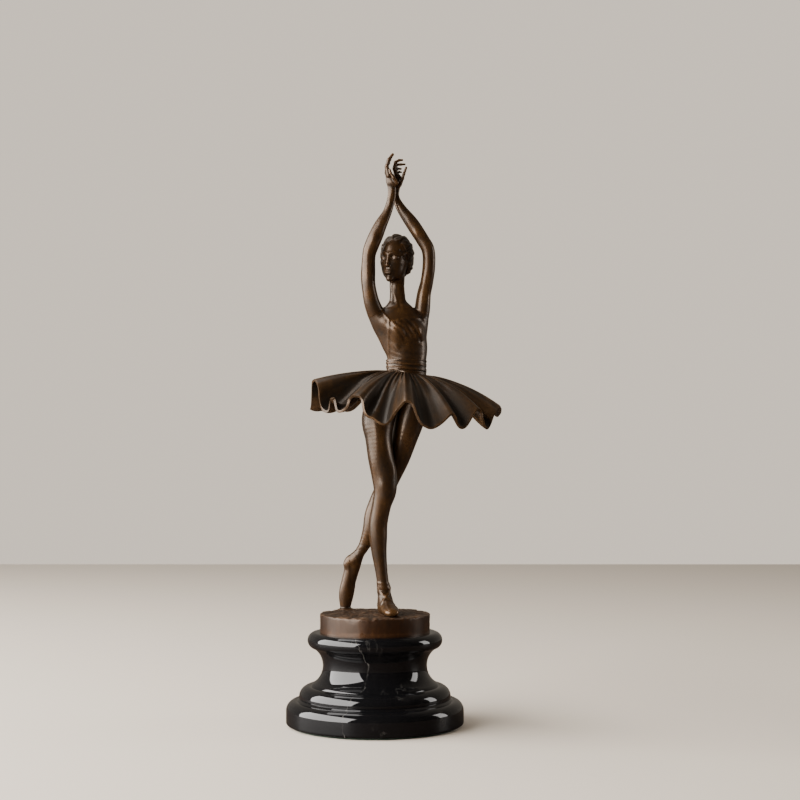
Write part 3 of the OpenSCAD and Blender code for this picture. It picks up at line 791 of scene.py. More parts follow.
def makeTorso():
    clay = Clay((-12, -24, 158), (52, 22, 266), 0.5)
    layTrunk(clay)
    for centre, radii in torso["bust"]:
        clay.add(egg(centre, radii), 4)
    clay.swells(torso["forms"])
    flattenSide(clay)
    for points, height, width in torso["lines"]:
        clay.front(points, height, width, -1)
    for folds, ridge, groove in (("deepFolds", 0.3, -0.22), ("faintFolds", 0.13, -0.09)):
        for line in torso[folds]:
            soft = through(line, 5)
            clay.front(soft, ridge, 1.25, -2)
            clay.front(soft - (1.9, 1.3), groove, 1.2, -2)
    for name in ("rightShoulder", "leftShoulder"):
        spot, x, y, z = clay.patch((-12, -24, 200), (52, 22, 260))
        beyond = np.minimum(armSide(name, x, z), pastSeam(name, x, y, z) - 0.4)
        clay.field[spot] = np.maximum(clay.field[spot], beyond)
    piece = fire(clay, "torso")
    cutAt(piece, (0, 0, seamAtHip), (0, 0, 1), False)
    addWear(piece, 14, 0.4)
    finishPiece(piece, patina("figureBronze"), "torso")


# arms

rightArm = {
    "shoulder": "rightShoulder",
    "run": [(0.6, -5.2, 235, 6.8, 7.2), (-2.6, -7.8, 243.5, 6.1, 6.6),
            (-4.8, -10.4, 256, 5.4, 5.9), (-5.1, -12, 267, 5.5, 5.6), (-4.6, -13, 279, 5.2, 5.1),
            (-2.6, -13, 286.5, 5.6, 5.4), (0.9, -12.6, 295, 5.6, 5.1), (4.6, -12, 303.4, 4.9, 4.6),
            (9.9, -11.2, 313.8, 3.5, 3.4), (13, -10.4, 325, 3.2, 2.4), (13.2, -10, 333, 3.3, 2.2),
            (11.6, -10, 341, 3, 1.8), (9.6, -10, 345, 2.4, 1.7)],
    "digits": [[(10.8, -12.2, 342), (9.3, -12.8, 349.2), (10.8, -13, 354.2), (13.9, -12.6, 358.4)],
               [(10.8, -10.8, 342), (9.2, -11, 348.8), (10.4, -11.2, 353.6), (12.8, -11, 356.8)],
               [(10.8, -9.4, 342), (9.2, -9.2, 348), (10.2, -9.2, 352.4), (12, -9, 355)],
               [(10.6, -8, 341.6), (9, -7.5, 346.6), (9.6, -7.3, 350.2), (11.2, -7.2, 352.6)],
               [(17.2, -13.4, 336.2), (14.6, -14.6, 340), (12.4, -14.6, 343.4), (11.6, -13.8, 346.4)]],
    "thick": (1.75, 1.7, 1.6, 1.4, 1.35),
    "palm": [((12.6, -10.4, 338.5), (3.8, 2.9, 5), (0, 0, 0)),
             ((14.6, -12, 336.4), (3.4, 1.9, 2.6), (0, 34, 0))],
    "forms": [((-3.6, -16, 263), (3.4, 2.8, 9), 0.7), ((-10, -10, 262), (2.8, 3.4, 9), 0.5),
              ((-7.4, -13, 284), (2.4, 2.4, 4.4), 0.25), ((-0.6, -18, 291), (3, 2.4, 6), 0.5),
              ((4.6, -15.6, 301), (2, 1.8, 8), 0.3), ((-4.6, -6.4, 270), (2, 1.8, 8), -0.4),
              ((11.6, -13.2, 321), (1, 1, 3), 0.3), ((14, -12, 331), (1.4, 1.3, 3), 0.3)],
    "box": ((-18, -24, 230), (20, 4, 361)),
}
leftArm = {
    "shoulder": "leftShoulder",
    "run": [(37, 3.6, 237, 6.2, 6.9), (38.4, 1.4, 250, 5.5, 6),
            (40.7, -1.4, 260, 5, 5.6), (42.3, -4, 271, 5, 5.4), (41.8, -6, 283.6, 5.1, 5.2),
            (37, -6, 293, 5.2, 5), (29, -5.6, 305.4, 5.2, 4.6), (20.6, -5, 317, 3.8, 3.4),
            (16.4, -4.6, 326, 2.8, 2.2), (16.9, -4.4, 334, 2.9, 2.1), (18.2, -4.4, 340, 3, 1.8),
            (17.4, -4.4, 342.6, 2.5, 1.6)],
    "digits": [[(17, -5.8, 341), (15, -6.4, 348.4), (16, -6.8, 353.2), (18.8, -6.8, 354.8),
                (21.4, -6.6, 355)],
               [(17.2, -4.6, 341), (15.6, -4.8, 348.2), (17, -4.9, 351.6), (20.2, -4.9, 351.8),
                (23.4, -4.8, 351.9)],
               [(17.6, -3.4, 341), (16.4, -3.2, 346.4), (17.6, -3, 348.9), (20.4, -3, 348.6)],
               [(18, -2.4, 340.6), (17.6, -1.8, 344.6), (18.8, -1.4, 346.6), (20.6, -1.4, 346.2)],
               [(19.6, -5.4, 335.6), (21.6, -6.4, 340.6), (22.8, -6.9, 344.4), (24.5, -6.9, 349)]],
    "thick": (1.6, 1.5, 1.25, 1.1, 1.45),
    "palm": [((17.4, -4.4, 338.6), (2.9, 2.5, 5.2), (0, 0, 0))],
    "forms": [((38.6, -5.4, 262), (3, 2.6, 9), 0.6), ((44.6, 2, 262), (2.8, 3.2, 9), 0.5),
              ((44.2, -6.6, 287), (2.4, 2.4, 4.6), 0.25), ((32.6, -10.2, 297), (3, 2, 5), 0.5),
              ((27, -9, 309), (2.4, 1.5, 6), 0.3), ((41, 2.2, 276), (2, 1.6, 7), -0.4),
              ((18, -7.2, 323), (1, 1, 3), 0.3)],
    "box": ((10, -17, 232), (50, 14, 359)),
}


def makeArm(name, node, arm):
    clay = Clay(*arm["box"], 0.36)
    layTrunk(clay)
    spot, x, y, z = clay.patch(*arm["box"])
    beyond = np.minimum(armSide(arm["shoulder"], x, z), pastSeam(arm["shoulder"], x, y, z) + 1)
    clay.field[spot] = np.maximum(clay.field[spot], -beyond)
    clay.limb(arm["run"], soft=0.1)
    clay.swells(arm["forms"])
    for centre, radii, turn in arm["palm"]:
        clay.add(egg(centre, radii, turn), 1.5)
    for digit, thick in zip(arm["digits"], arm["thick"]):
        for j, (p, q) in enumerate(zip(digit[:-1], digit[1:])):
            # each joint of a finger is thinner than the last
            bone = rod(p, q, thick * (1 - 0.12 * j), thick * (0.88 - 0.12 * j))
            clay.add(bone, 1.1 if j == 0 else 0.6)
        tip, before = np.array(digit[-1]), np.array(digit[-2])
        nail = tip - 0.1 * (tip - before) + (-0.3, -0.9, 0.9)
        clay.swell(nail, (0.7, 0.6, 0.7), 0.12)
    piece = fire(clay, name)
    a, b = (np.array(s[:3]) for s in torso[arm["shoulder"]][1:3])
    cutAt(piece, b, (b - a) / np.linalg.norm(b - a), False)
    addWear(piece, 14, 0.3)
    finishPiece(piece, patina("figureBronze"), node)


# head, in its own frame: origin at the middle of the skull, facing -Y

head = {
    "at": (16.4, -2, 277.4), "turn": -24, "seam": 257.4,
    "hairlineTop": (-8.6, 17), "hairlineEar": (1.6, -3),      # (y, z) of the edge of the hair
    # skull, face, jaw, chin: centre, radii, softness
    "masses": [((0, 1.2, 4.6), (12, 14.8, 14.2), 1), ((0, -3.6, -3.6), (9.8, 11.6, 12.4), 4),
               ((0, -6, -10), (7.2, 8.6, 7.4), 3), ((0, -12.6, -16.4), (2.5, 2.3, 2.3), 3.5)],
    # lips, the line between them, below them and above them: points (x, z), height, width
    "mouth": [
        ([(-2.8, -10.9), (-1.3, -10.35), (-0.5, -10.05), (0, -10.2), (0.5, -10.05), (1.3, -10.35),
          (2.8, -10.9)], 0.34, 0.5),
        ([(-2, -11.6), (-0.9, -12), (0, -12.1), (0.9, -12), (2, -11.6)], 0.4, 0.62),
        ([(-2.9, -11), (-1.2, -10.95), (0, -11.1), (1.2, -10.95), (2.9, -11)], -0.42, 0.3),
        ([(-1.6, -13.7), (1.6, -13.7)], -0.3, 0.8), ([(0, -8.2), (0, -9.5)], -0.16, 0.5),
    ],
    # upper lid, lower lid, crease and brow of one eye
    "eye": [([(2.6, -0.3), (3.6, 0.7), (4.9, 1.1), (6.2, 0.7), (7.2, 0)], 0.36, 0.42),
            ([(2.6, -0.4), (3.8, -1), (5, -1.2), (6.3, -0.8), (7.2, -0.1)], 0.22, 0.4),
            ([(2.8, 1.1), (3.9, 1.9), (5, 2.2), (6.5, 1.8), (7.7, 0.8)], -0.22, 0.4),
            ([(2.1, 3.6), (4.4, 4.6), (6.6, 4.5), (8.4, 3.5)], 0.2, 0.7)],
}


def hairCap(grow):
    cap = egg((0, 2.4, 4.4), (13 + grow, 15.2 + grow, 15.6 + grow))[2]
    nape = egg((0, 6.4, -4.6), (10.8 + grow, 9.6 + grow, 9 + grow))[2]
    (y0, z0), (y1, z1) = head["hairlineTop"], head["hairlineEar"]
    n = np.array((z0 - z1, y1 - y0), float)
    n /= np.linalg.norm(n)

    def distance(x, y, z):
        # The hairline is highest in the middle and comes forward at the temples.
        ahead = -(n[0] * (y - y0) + n[1] * (z - z0)) - 0.014 * x * x
        ahead = ahead + 0.3 * np.sin(1.1 * x) + 0.3 * np.sin(0.9 * z)
        return np.maximum(meld(cap(x, y, z), nape(x, y, z), 4), ahead * 0.8)
    return (-15, -16, -17), (15, 20, 21), distance


def layFace(clay):
    for side in (-1, 1):
        clay.swell((7.2 * side, -11.4, -3.2), (3.8, 3.4, 3), 0.6)
        clay.swell((8.4 * side, -4, -11.4), (2.4, 5, 4), 0.3)
        clay.swell((10.2 * side, -8, 5.4), (2.6, 4, 4), -0.3)
        clay.swell((4.8 * side, -14.4, 3.9), (4, 3, 1.6), 0.4)
        clay.swell((4.5 * side, -15, 0.4), (2.7, 2.6, 1.9), -1.5)
        clay.add(egg((4.8 * side, -11.7, 0), (2.6, 2.25, 2.1)), 0.6)
        clay.swell((4.6 * side, -14.8, -9), (2.6, 2.4, 2.4), -0.2)
        # ear
        clay.add(egg((10.9 * side, 2, -2.2), (1.5, 2.3, 3.7), (14, 0, 12 * side)), 0.8)
        clay.swell((12.2 * side, 1.4, -1.8), (1, 1.1, 1.9), -0.8)
        clay.swell((12 * side, 2.6, -0.2), (0.7, 1.5, 1.3), 0.3)
    clay.add(rod((0, -13.8, 2.4), (0, -16.5, -5.4), 0.8, 1.15), 2.4)
    clay.add(egg((0, -16.5, -6), (1.25, 1.3, 1.15)), 0.9)
    for side in (-1, 1):
        clay.add(egg((1.45 * side, -15.3, -6.5), (0.9, 1.2, 0.9)), 0.9)
        clay.swell((0.85 * side, -16.1, -7.5), (0.5, 0.7, 0.45), -0.45)
    clay.add(egg((0, -13.6, -11), (3.4, 2.1, 2.3)), 2)
    for points, height, width in head["mouth"]:
        clay.front(points, height, width, -9)
    for side in (-1, 1):
        for points, height, width in head["eye"]:
            clay.front([(x * side, z) for x, z in points], height, width, -8)


def makeHead():
    clay = Clay((-16.5, -21.5, -25), (16.5, 27, 22), 0.27)
    for centre, radii, soft in head["masses"]:
        clay.add(egg(centre, radii), soft)
    clay.add(rod((0, 2, -24), (0, 2.6, -8), 5.7, 6.2), 3)
    layFace(clay)
    clay.add(hairCap(0), 0.25)
    clay.add(egg((0, 17, -4), (6.2, 5.8, 6)), 1.2)
    combHair(clay)
    a = math.radians(head["turn"])

    def place(points):
        x, y, z = points.T
        x, y = x * math.cos(a) - y * math.sin(a), x * math.sin(a) + y * math.cos(a)
        return np.stack([x, y, z], 1) + head["at"]
    piece = fire(clay, "head", place)
    cutAt(piece, (0, 0, head["seam"]), (0, 0, 1), False)
    addWear(piece, 14, 0.5)
    finishPiece(piece, patina("figureBronze"), "head")
    piece.data.materials.append(patina("hairBronze"))
    middles = np.empty(len(piece.data.polygons) * 3)
    piece.data.polygons.foreach_get("center", middles)
    x, y, z = (middles.reshape(-1, 3) / mm - (0, 0, ground) - head["at"]).T
    x, y = x * math.cos(a) + y * math.sin(a), y * math.cos(a) - x * math.sin(a)
    # faces near the hair's own surface are hair, and so is the bun
    hair = (hairCap(0.7)[2](x, y, z) < 0) & (hairCap(-1.2)[2](x, y, z) > -1.6) | (y > 14)
    piece.data.polygons.foreach_set("material_index", hair.astype(np.int32))


def combHair(clay):
    # Locks swept from the hairline back to the bun, then the bun's own coil.
    rows = 15
    for i in range(rows):
        line = []
        for t in np.linspace(0, 1, 13):
            back = -0.95 + 2.05 * t
            wave = 0.16 * math.sin(9 * t + 2.1 * i) * (1 - t)
            lean = 2 * (-1 + 2 * i / (rows - 1)) * (1 - 0.55 * t * t) + wave
            x = 13.2 * math.sin(lean) * math.cos(0.72 * back)
            z = 4.6 + 15.6 * math.cos(lean) * math.cos(0.72 * back) - 7 * t * t
            line.append((x, 2.2 + 15.4 * math.sin(back), z))
        clay.stroke(onSkin(clay, line), 0.55 if i % 2 else -0.6, 1.0)
    for i in range(rows):
        # the hair of the nape, swept up to the bun
        x = 11.4 * (-1 + 2 * i / (rows - 1))
        low = 1 - abs(x) / 11.4
        line = [(x * (1 - 0.7 * t) + 0.5 * math.sin(5 * t + 1.7 * i), 4 + 7 * low + (9 - 7 * low) * t,
                 -5 - 8.4 * low + (1 + 6 * low) * t) for t in np.linspace(0, 1, 9)]
        clay.stroke(onSkin(clay, line), 0.45 if i % 2 else -0.5, 0.8)
    coils = 14
    for i in range(coils):
        line = []
        for t in np.linspace(0, 1, 7):
            a, out = math.radians(360 * i / coils) + 1.5 * t, 0.4 + 1.7 * t
            line.append((math.sin(a) * 6.3 * math.sin(out), 17 + 6 * math.cos(out),
                         -4 + math.cos(a) * 6.3 * math.sin(out)))
        clay.stroke(onSkin(clay, line), -0.62, 0.6)


def onSkin(clay, line):
    # Draws the points of a line onto the surface.
    points = np.array(line, float)
    for turn in range(4):
        here, slope = readField(clay, points), slopeAt(clay, points, 0.3)
        points -= np.clip(here / np.maximum((slope ** 2).sum(1), 0.2), -2, 2)[:, None] * slope
    return points


# skirt: one thin sheet hung from the waist in deep folds

waist = {"at": (24.6, -0.6, 188.4), "wide": 15.5, "deep": 11.7, "turn": 12, "dip": 0.12}
skirt = {
    "reach": 75, "drop": 27, "tilt": (9.5, -5.5), "thick": 1.9, "across": 60, "between": 7, "start": 0.03,
    # bearing of the front; how far round from it the folds are even, and how soon they change
    "front": 285, "evenReach": 22, "evenEase": 25,
    # how low a hollow is before it deepens early, how it curls up at the hem, how the sheet falls
    "deepFrom": 4, "curl": 10, "rise": 1.4, "fall": 0.65,
    "rim": 0.45, "rimSteps": 3, "rimAngle": 50,
    # the hem, once round: bearing and height
    "hem": [(-14, 162.4), (-6, 160), (4, 156.5), (12, 155), (17, 157), (21, 165), (25, 166.5), (29, 165.4),
            (33, 158), (38, 156), (43, 158.4), (46, 169.4), (50, 171), (54.6, 169.6), (57.6, 160), (62, 158),
            (66.6, 160.2), (70, 172), (75, 174.2), (79.6, 172.6), (82.6, 162.4), (87, 160), (91.4, 162.4),
            (94.4, 174.4), (99, 176.2), (103.4, 174.4), (106.4, 163.6), (111, 161), (115.6, 163.8),
            (118.6, 176.4), (123, 178.4), (127.4, 176.6), (130.6, 164.4), (135, 162), (139.6, 164.4),
            (142.6, 178.2), (147, 180.2), (151.6, 178.4), (154.6, 164.6), (159, 162), (163.4, 164.4),
            (166.4, 179.6), (171, 182), (174.6, 179.6), (177.6, 165), (182, 161), (186, 163.4),
            (189.6, 177.6), (194, 181.8), (199, 182.2), (203.6, 179.4), (206.6, 174), (208.2, 166),
            (211, 160.2), (214.5, 158.4), (217.6, 158), (219.6, 157.8), (222, 157.6), (224.2, 157.8),
            (226.4, 158), (230, 158.2), (233, 160.8), (234.8, 166), (238, 168.8), (242, 168.6),
            (244.6, 165), (245.8, 158), (248, 153.8), (252, 151.6), (257, 147.6), (260.5, 150),
            (264.9, 158.5), (268, 163.2), (271, 164.6), (274.2, 162.4), (277, 154), (280, 147.4),
            (284.6, 144.6), (289.6, 147), (294.8, 153), (298, 155), (300.4, 153), (302, 147.6),
            (304.8, 144.8), (308, 146.6), (313, 155), (317, 159.2), (320.4, 157.6), (322.4, 150),
            (325.4, 145), (330, 147.4), (337, 156.6), (346, 162.4)],
    "tuck": (222, 10, 3.5),                       # a small fold of the hem alone
}


def atWaist(angle, out):
    # A place on the waist's outline, or outside it, by its bearing from the waist's own long axis.
    turn = math.radians(waist["turn"])
    e, g = (waist["wide"] + out) * np.cos(angle), (waist["deep"] + out) * np.sin(angle)
    return (waist["at"][0] + e * math.cos(turn) - g * math.sin(turn),
            waist["at"][1] + e * math.sin(turn) + g * math.cos(turn))


def drape(a, h, f):
    # Place of the sheet at a bearing, for a height of the hem there, at f of the way from waist to hem.
    r = np.radians(a)
    x, y = atWaist(r - math.radians(waist["turn"]), 0)
    start = waist["at"][2] - waist["dip"] * (x - waist["at"][0])
    mean = waist["at"][2] - skirt["drop"] - skirt["tilt"][0] * np.cos(r) - skirt["tilt"][1] * np.sin(r)
    # ridges rise evenly; hollows away from the front deepen early and curl up at the hem
    swing = h - mean
    fromFront = np.abs((a - skirt["front"] + 540) % 360 - 180)
    aside = np.clip((fromFront - skirt["evenReach"]) / skirt["evenEase"], 0, 1)
    hollow = aside * np.clip(-swing / skirt["deepFrom"], 0, 1)
    curled = f ** 3 * (skirt["curl"] + 1 - skirt["curl"] * f)
    growth = (1 - hollow) * f ** skirt["rise"] + hollow * curled
    at, high, wide = skirt["tuck"]
    tuck = high * np.exp(-((a - at) / wide) ** 4) * f ** 8
    fall = (1 - skirt["fall"]) * f + skirt["fall"] * f * f
    z = start - (start - mean) * fall + swing * growth + tuck
    far = f * (skirt["reach"] - waist["wide"])
    return np.stack([x + far * np.cos(r), y + far * np.sin(r), z], -1)


def pleats(a, f):
    # Fine gathers that start at the waist and die out or fork on the way down.
    r = np.radians(a)
    strength = np.exp(-((f - 0.18) / 0.34) ** 2) * 0.55 + 0.25 * f
    one = np.sin(52 * r + 3.2 * np.sin(3 * r) + 1.5 * np.sin(5 * r + 1))
    two = np.sin(83 * r + 2.5 * np.sin(4 * r + 2) + 2.2 * f)
    three = np.sin(31 * r + 2 * np.sin(2 * r) - 1.8 * f)
    waves = 0.62 * one + 0.26 * two * (1 - f) + 0.42 * three * f
    return strength * np.clip((f - skirt["start"]) / 0.1, 0, 1) * waves


def makeSkirt():
    hem = through(skirt["hem"], max(3, int(skirt["between"] / rough)))[:-1]
    count, across = len(hem), int(skirt["across"] / rough)
    bpy.ops.mesh.primitive_grid_add(x_subdivisions=count, y_subdivisions=across, size=1)
    piece = bpy.context.object
    piece.name = "skirt"
    flat = readPoints(piece.data)
    i = np.rint((flat[:, 0] + 0.5) * count).astype(int) % count
    f = skirt["start"] + (1 - skirt["start"]) * (flat[:, 1] + 0.5)
    left, right = hem[(i - 1) % count], hem[(i + 1) % count]
    right[:, 0] += 360 * (i == count - 1)
    left[:, 0] -= 360 * (i == 0)
    a, h = hem[i].T
    points = drape(a, h, f)
    normal = np.cross(drape(a, h, f + 0.01) - drape(a, h, f - 0.01), drape(*right.T, f) - drape(*left.T, f))
    normal /= np.linalg.norm(normal, axis=1)[:, None]
    points += normal * pleats(a, f)[:, None]
    writePoints(piece.data, (points + (0, 0, ground)) * mm)
    edit(piece, *joinUp(0.02))
    if sum(face.normal.z * face.area for face in piece.data.polygons) < 0:
        piece.data.flip_normals()
    sheet = piece.modifiers.new("sheet", "SOLIDIFY")
    sheet.thickness = skirt["thick"] * mm
    sheet.offset = -1
    sheet.use_even_offset = False
    rim = piece.modifiers.new("rim", "BEVEL")
    rim.width = skirt["rim"] * mm
    rim.segments = skirt["rimSteps"]
    rim.limit_method = "ANGLE"
    rim.angle_limit = math.radians(skirt["rimAngle"])
    for name in ("sheet", "rim"):
        bpy.ops.object.modifier_apply(modifier=name)
    smoothen(piece.data)
    addWear(piece, 12, 0.3, 1)
    finishPiece(piece, patina("skirtBronze"), "skirt")


# sash: cloth wound round the waist

sash = {"high": 9.6, "up": 0.6, "thick": 0.55, "inner": -1.2, "round": 300, "over": 72}


def makeSash():
    bpy.ops.mesh.primitive_torus_add(major_segments=sash["round"], minor_segments=sash["over"],
                                     major_radius=1, minor_radius=0.2)
    piece = bpy.context.object
    piece.name = "waistSash"
    flat = readPoints(piece.data)
    a = np.arctan2(flat[:, 1], flat[:, 0])
    b = np.arctan2(flat[:, 2], np.hypot(flat[:, 0], flat[:, 1]) - 1)
    # b runs round the section: outside, top, inside, underside
    h, outward = np.sin(b), np.cos(b)
    level = np.sign(h) * np.abs(h) ** 0.8
    out = np.where(outward > 0, sash["thick"] * np.abs(outward) ** 0.35, sash["inner"] * np.abs(outward))
    wraps = (0.22 * np.sin(9.5 * level + 1.3 * np.sin(a + 0.6) + 0.5 * np.sin(3 * a))
             + 0.16 * np.sin(17 * level + 2.2 * np.sin(2 * a + 1) + 0.7 * np.sin(5 * a + 2))
             + 0.12 * np.sin(6 * a + 4 * level))
    out = out + wraps * np.clip(outward, 0, 1)
    x, y = atWaist(a, out)
    middle = waist["at"][2] + sash["up"] + sash["high"] / 2
    z = middle + level * sash["high"] / 2 - waist["dip"] * (x - waist["at"][0]) * (0.5 - 0.5 * level)
    writePoints(piece.data, np.stack([x, y, z + ground], 1) * mm)
    smoothen(piece.data)
    addWear(piece, 10, 0.28, 1)
    finishPiece(piece, patina("figureBronze"), "waist_sash")


# plinth

plinth = {"radius": 43.2, "high": 14.6, "wall": 3, "plate": 4, "boss": 7, "stud": 3, "studTop": 9,
          "edge": 0.8, "foot": 0.3, "bossUp": 0.2, "step": 0.75, "steps": 300, "smoothBelow": 40,
          # the worked earth: how deep it goes, and where its edge is worn down
          "earthDeep": 1.7, "earthRim": 4, "earthDown": 2.2}


def spun(name, profile, steps):
    # Turns an outline of (radius, height) in millimetres round the upright axis.
    mesh = bpy.data.meshes.new(name)
    links = [(i, i + 1) for i in range(len(profile) - 1)]
    mesh.from_pydata([(r * mm, 0, z * mm) for r, z in profile], links, [])
    piece = hold(name, mesh)
    around = {"steps": steps, "angle": 2 * math.pi, "center": (0, 0, 0), "axis": (0, 0, 1)}
    edit(piece, (bpy.ops.mesh.spin, around), *joinUp(0.01))
    return piece


def evenly(line, step):
    # Adds points along an outline so that no stretch is longer than the step.
    fine = [line[0]]
    for (a, b), (c, d) in zip(line[:-1], line[1:]):
        count = max(1, math.ceil(math.dist((a, b), (c, d)) / step))
        fine += [(a + (c - a) * i / count, b + (d - b) * i / count) for i in range(1, count + 1)]
    return fine


def worked(x, y, z):
    # Where a point of the plinth goes when its top is worked as earth and its side is waved.
    r, top, radius = plinth["radius"], baseTop + plinth["high"], math.hypot(x, y)
    onTop = z > top - 2 * plinth["earthDeep"] and radius < r + 0.1
    onSide = radius > r - 2 and z > baseTop + 0.3
    up, push = 0, 0
    if onTop and z > top - plinth["earthDeep"]:
        p = Vector((x, y, z))
        rim = min(1, max(0, (radius - r + plinth["earthRim"]) / plinth["earthRim"]))
        earth = noise.fractal(p * 0.13, 1, 2, 3) * 0.75 + noise.fractal(p * 0.42, 0.9, 2.1, 3) * 0.34
        up = min(0.45, earth * 1.15 - 0.3) - 0.4 * rim
    if onSide:
        high = min(1, max(0, (z - top + 5) / 5))
        slow, quick = noise.noise(Vector((x, y, 0)) * 0.09), noise.noise(Vector((x, y, z * 0.4)) * 0.3)
        wave = slow * 0.5 + quick * 0.22
        push = (-0.25 + wave * (0.3 + 0.7 * high) * min(1, (z - baseTop) / 3)) / radius
    return x + push * x, y + push * y, z + up


def makePlinth():
    r, h = plinth["radius"], plinth["high"]
    soft = plinth["edge"]
    edge = [(r - soft + soft * math.sin(t), h - soft + soft * math.cos(t)) for t in np.linspace(0.1, 1.45, 6)]
    skin = evenly([(0, h)] + edge + [(r, h - 4), (r, 0.4)], plinth["step"] * rough)
    inner, under, boss, stud = r - plinth["wall"], h - plinth["plate"], plinth["boss"], plinth["stud"]
    hollow = [(r - plinth["foot"], 0), (inner, 0), (inner, under), (boss, under), (boss, plinth["bossUp"]),
              (stud, plinth["bossUp"]), (stud, plinth["studTop"]), (0, plinth["studTop"])]
    piece = spun("bronzePlinth", [(a, b + baseTop) for a, b in skin + hollow], int(plinth["steps"] / rough))
    mesh = piece.data
    points = np.array([worked(*point) for point in readPoints(mesh) / mm])
    writePoints(mesh, points * mm)
    edit(piece)
    bpy.ops.object.shade_smooth_by_angle(angle=math.radians(plinth["smoothBelow"]))
    addWear(piece, 10, 0.3)
    finishPiece(piece, patina("plinthBronze"), "bronze_plinth")
    mesh.materials.append(patina("earthBronze"))
    for face in mesh.polygons:
        if face.normal.z > 0.75 and face.center.z > (baseTop + h - plinth["earthDown"]) * mm:
            face.material_index = 1


# marble

marble = {
    "scale": 139 / 140.4, "foot": 1.5, "high": 73, "bore": 3.5, "recess": 14, "recessTop": 15,
    "steps": 288, "smoothBelow": 32,
    # the turned outline from the foot up: centre, radius, bearings at start and end, steps
    "turned": [((68.2, 3.5), 2, -90, 0, 8), ((62.5, 12.3), 7.7, 0, 97, 22), ((51.5, 23), 8.4, -12, 98, 26),
               ((57.5, 47), 16.3, 241, 120, 34), ((47, 66.7), 6.3, -62, 90, 26)],
    # the vein in front: height and where it stands across, up to veinSide on the -X side
    "vein": [(0, -20), (8.5, -22.7), (18.7, -21.6), (29, -15.5), (36.4, -6.9), (50, -4.7), (58, -7.8),
             (73, -14.2)],
    "veinSide": 30,
    "shades": [(0, (0.004, 0.004, 0.0045)), (0.5, (0.06, 0.058, 0.055)), (1, (0.34, 0.33, 0.31))],
    "gloss": {"Roughness": 0.055, "Specular IOR Level": 0.5},
}


def arc(centre, radius, start, end, steps):
    turns = [math.radians(start + (end - start) * i / steps) for i in range(steps + 1)]
    return [(centre[0] + radius * math.cos(t), centre[1] + radius * math.sin(t)) for t in turns]


def veinRun(paint, z):
    # How far across the vein stands at each height.
    aside = marble["veinSide"]
    curve = paint.nodes.new("ShaderNodeFloatCurve")
    line = curve.mapping.curves[0]
    places = [(high / marble["high"], (side + aside) / aside) for high, side in marble["vein"]]
    line.points[0].location, line.points[-1].location = places[0], places[-1]
    for place in places[1:-1]:
        line.points.new(*place)
    curve.mapping.update()
    paint.feed(curve, {"Value": paint.span(z, 0, marble["high"] * mm, 0, 1)})
    return paint.span(curve.outputs[0], 0, 1, -aside * mm, 0)


def polishedMarble():
    paint = Paint(bpy.data.materials.new("blackMarble"))
    x, y, z = paint.node("SeparateXYZ", {0: paint.node("TexCoord", {})["Object"]})
    wander = paint.span(paint.grain(90, 5, 0.7), 0.3, 0.7, -0.0022, 0.0022)
    off = paint.maths(paint.maths(x, veinRun(paint, z), "SUBTRACT"), wander)
    thin = paint.span(paint.grain(160, 4, 0.7), 0.35, 0.65, 0.00006, 0.00032)
    mark = paint.maths(thin, paint.maths(paint.maths(off, 0, "ABSOLUTE"), thin), "DIVIDE")
    mark = paint.span(mark, 0.3, 0.95, 0, 1)
    broken = paint.span(paint.grain(70, 5, 0.75), 0.4, 0.62, 0.12, 1)
    for limit in (broken, paint.span(y, -0.01, 0, 1, 0)):
        mark = paint.maths(mark, limit, "MULTIPLY")
    # a few fainter veins elsewhere
    apart = paint.maths(paint.grain(17, 7, 0.62, (1, 1, 0.7), 1.1), 0.5, "SUBTRACT")
    faint = paint.span(paint.maths(apart, 0, "ABSOLUTE"), 0, 0.008, 1, 0)
    faint = paint.maths(faint, paint.span(paint.grain(26, 3), 0.55, 0.72, 0, 0.35), "MULTIPLY")
    mark = paint.maths(mark, faint, "MAXIMUM")
    return paint.finish({"Base Color": paint.shades(mark, marble["shades"]), **marble["gloss"]})


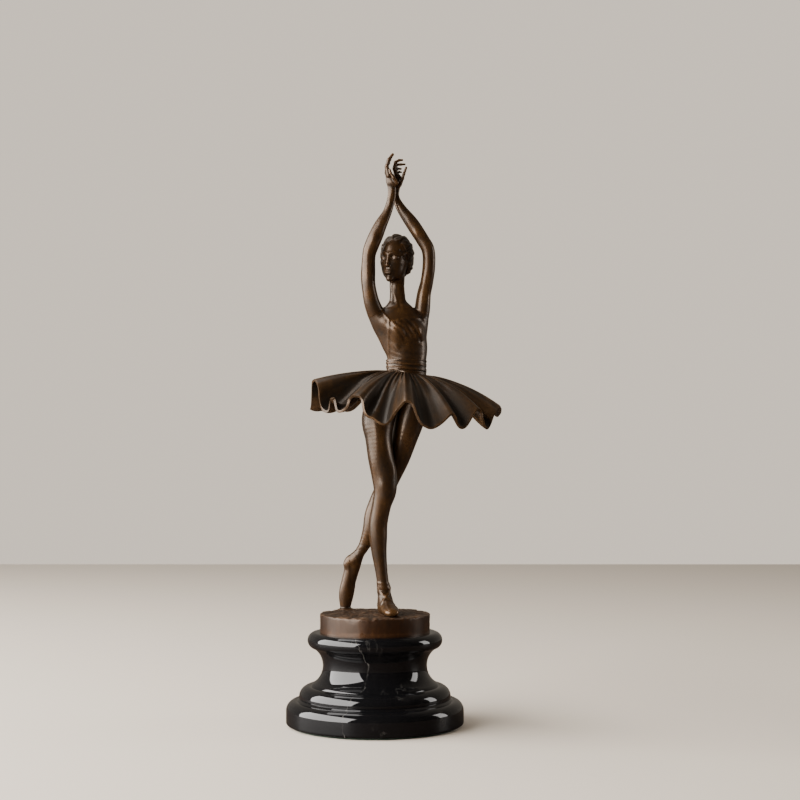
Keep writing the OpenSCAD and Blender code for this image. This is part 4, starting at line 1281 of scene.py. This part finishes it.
def makeMarble():
    skin = [(marble["scale"] * r, z) for curve in marble["turned"] for r, z in arc(*curve)]
    bore, recess, recessTop = marble["bore"], marble["recess"], marble["recessTop"]
    closed = [(recess, marble["foot"])] + skin + [(bore, marble["high"]), (bore, recessTop),
                                                  (recess, recessTop), (recess, marble["foot"])]
    piece = spun("marbleBase", closed, marble["steps"])
    edit(piece)
    bpy.ops.object.shade_smooth_by_angle(angle=math.radians(marble["smoothBelow"]))
    finishPiece(piece, polishedMarble(), "marble_base")


# felt and fixings keep their CAD shapes

fixings = {
    "nodes": ("stud_nut", "spring_washer", "flat_washer", "base_stud", "foot_screws", "hip_dowels",
              "shoulder_dowels", "neck_dowel"),
    "steel": [(0.3, (0.42, 0.42, 0.43)), (0.7, (0.6, 0.6, 0.6))],
    "felt": [(0.3, (0.003, 0.011, 0.006)), (0.7, (0.012, 0.036, 0.02))],
}


def greenFelt():
    paint = Paint(bpy.data.materials.new("greenFelt"))
    fibre = paint.grain(900, 6, 0.7)
    return paint.finish({"Base Color": paint.shades(fibre, fixings["felt"]), "Roughness": 0.95,
                         "Sheen Weight": 0.4, **paint.bumps([(fibre, 0.4, 0.6)])})


def plainSteel():
    paint = Paint(bpy.data.materials.new("plainSteel"))
    scratch = paint.grain(260, 4, 0.6, (1, 1, 0.1))
    return paint.finish({"Base Color": paint.shades(scratch, fixings["steel"]), "Metallic": 1,
                         "Roughness": paint.span(scratch, 0.3, 0.7, 0.24, 0.38)})


def dressFixings():
    steel = plainSteel()
    for name in fixings["nodes"]:
        dress(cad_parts[name], steel)
    dress(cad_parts["felt_pad"], greenFelt())


placeCamera()
layFloor()
hangLights()
paintBackdrop()
dressFixings()
makeMarble()
makePlinth()
makeLeg("rightLeg", "right_leg", rightLeg, rightShoe, layRightBands)
makeLeg("leftLeg", "left_leg", leftLeg, leftShoe, layLeftTip)
makeTorso()
makeArm("rightArm", "right_arm", rightArm)
makeArm("leftArm", "left_arm", leftArm)
makeHead()
makeSkirt()
makeSash()
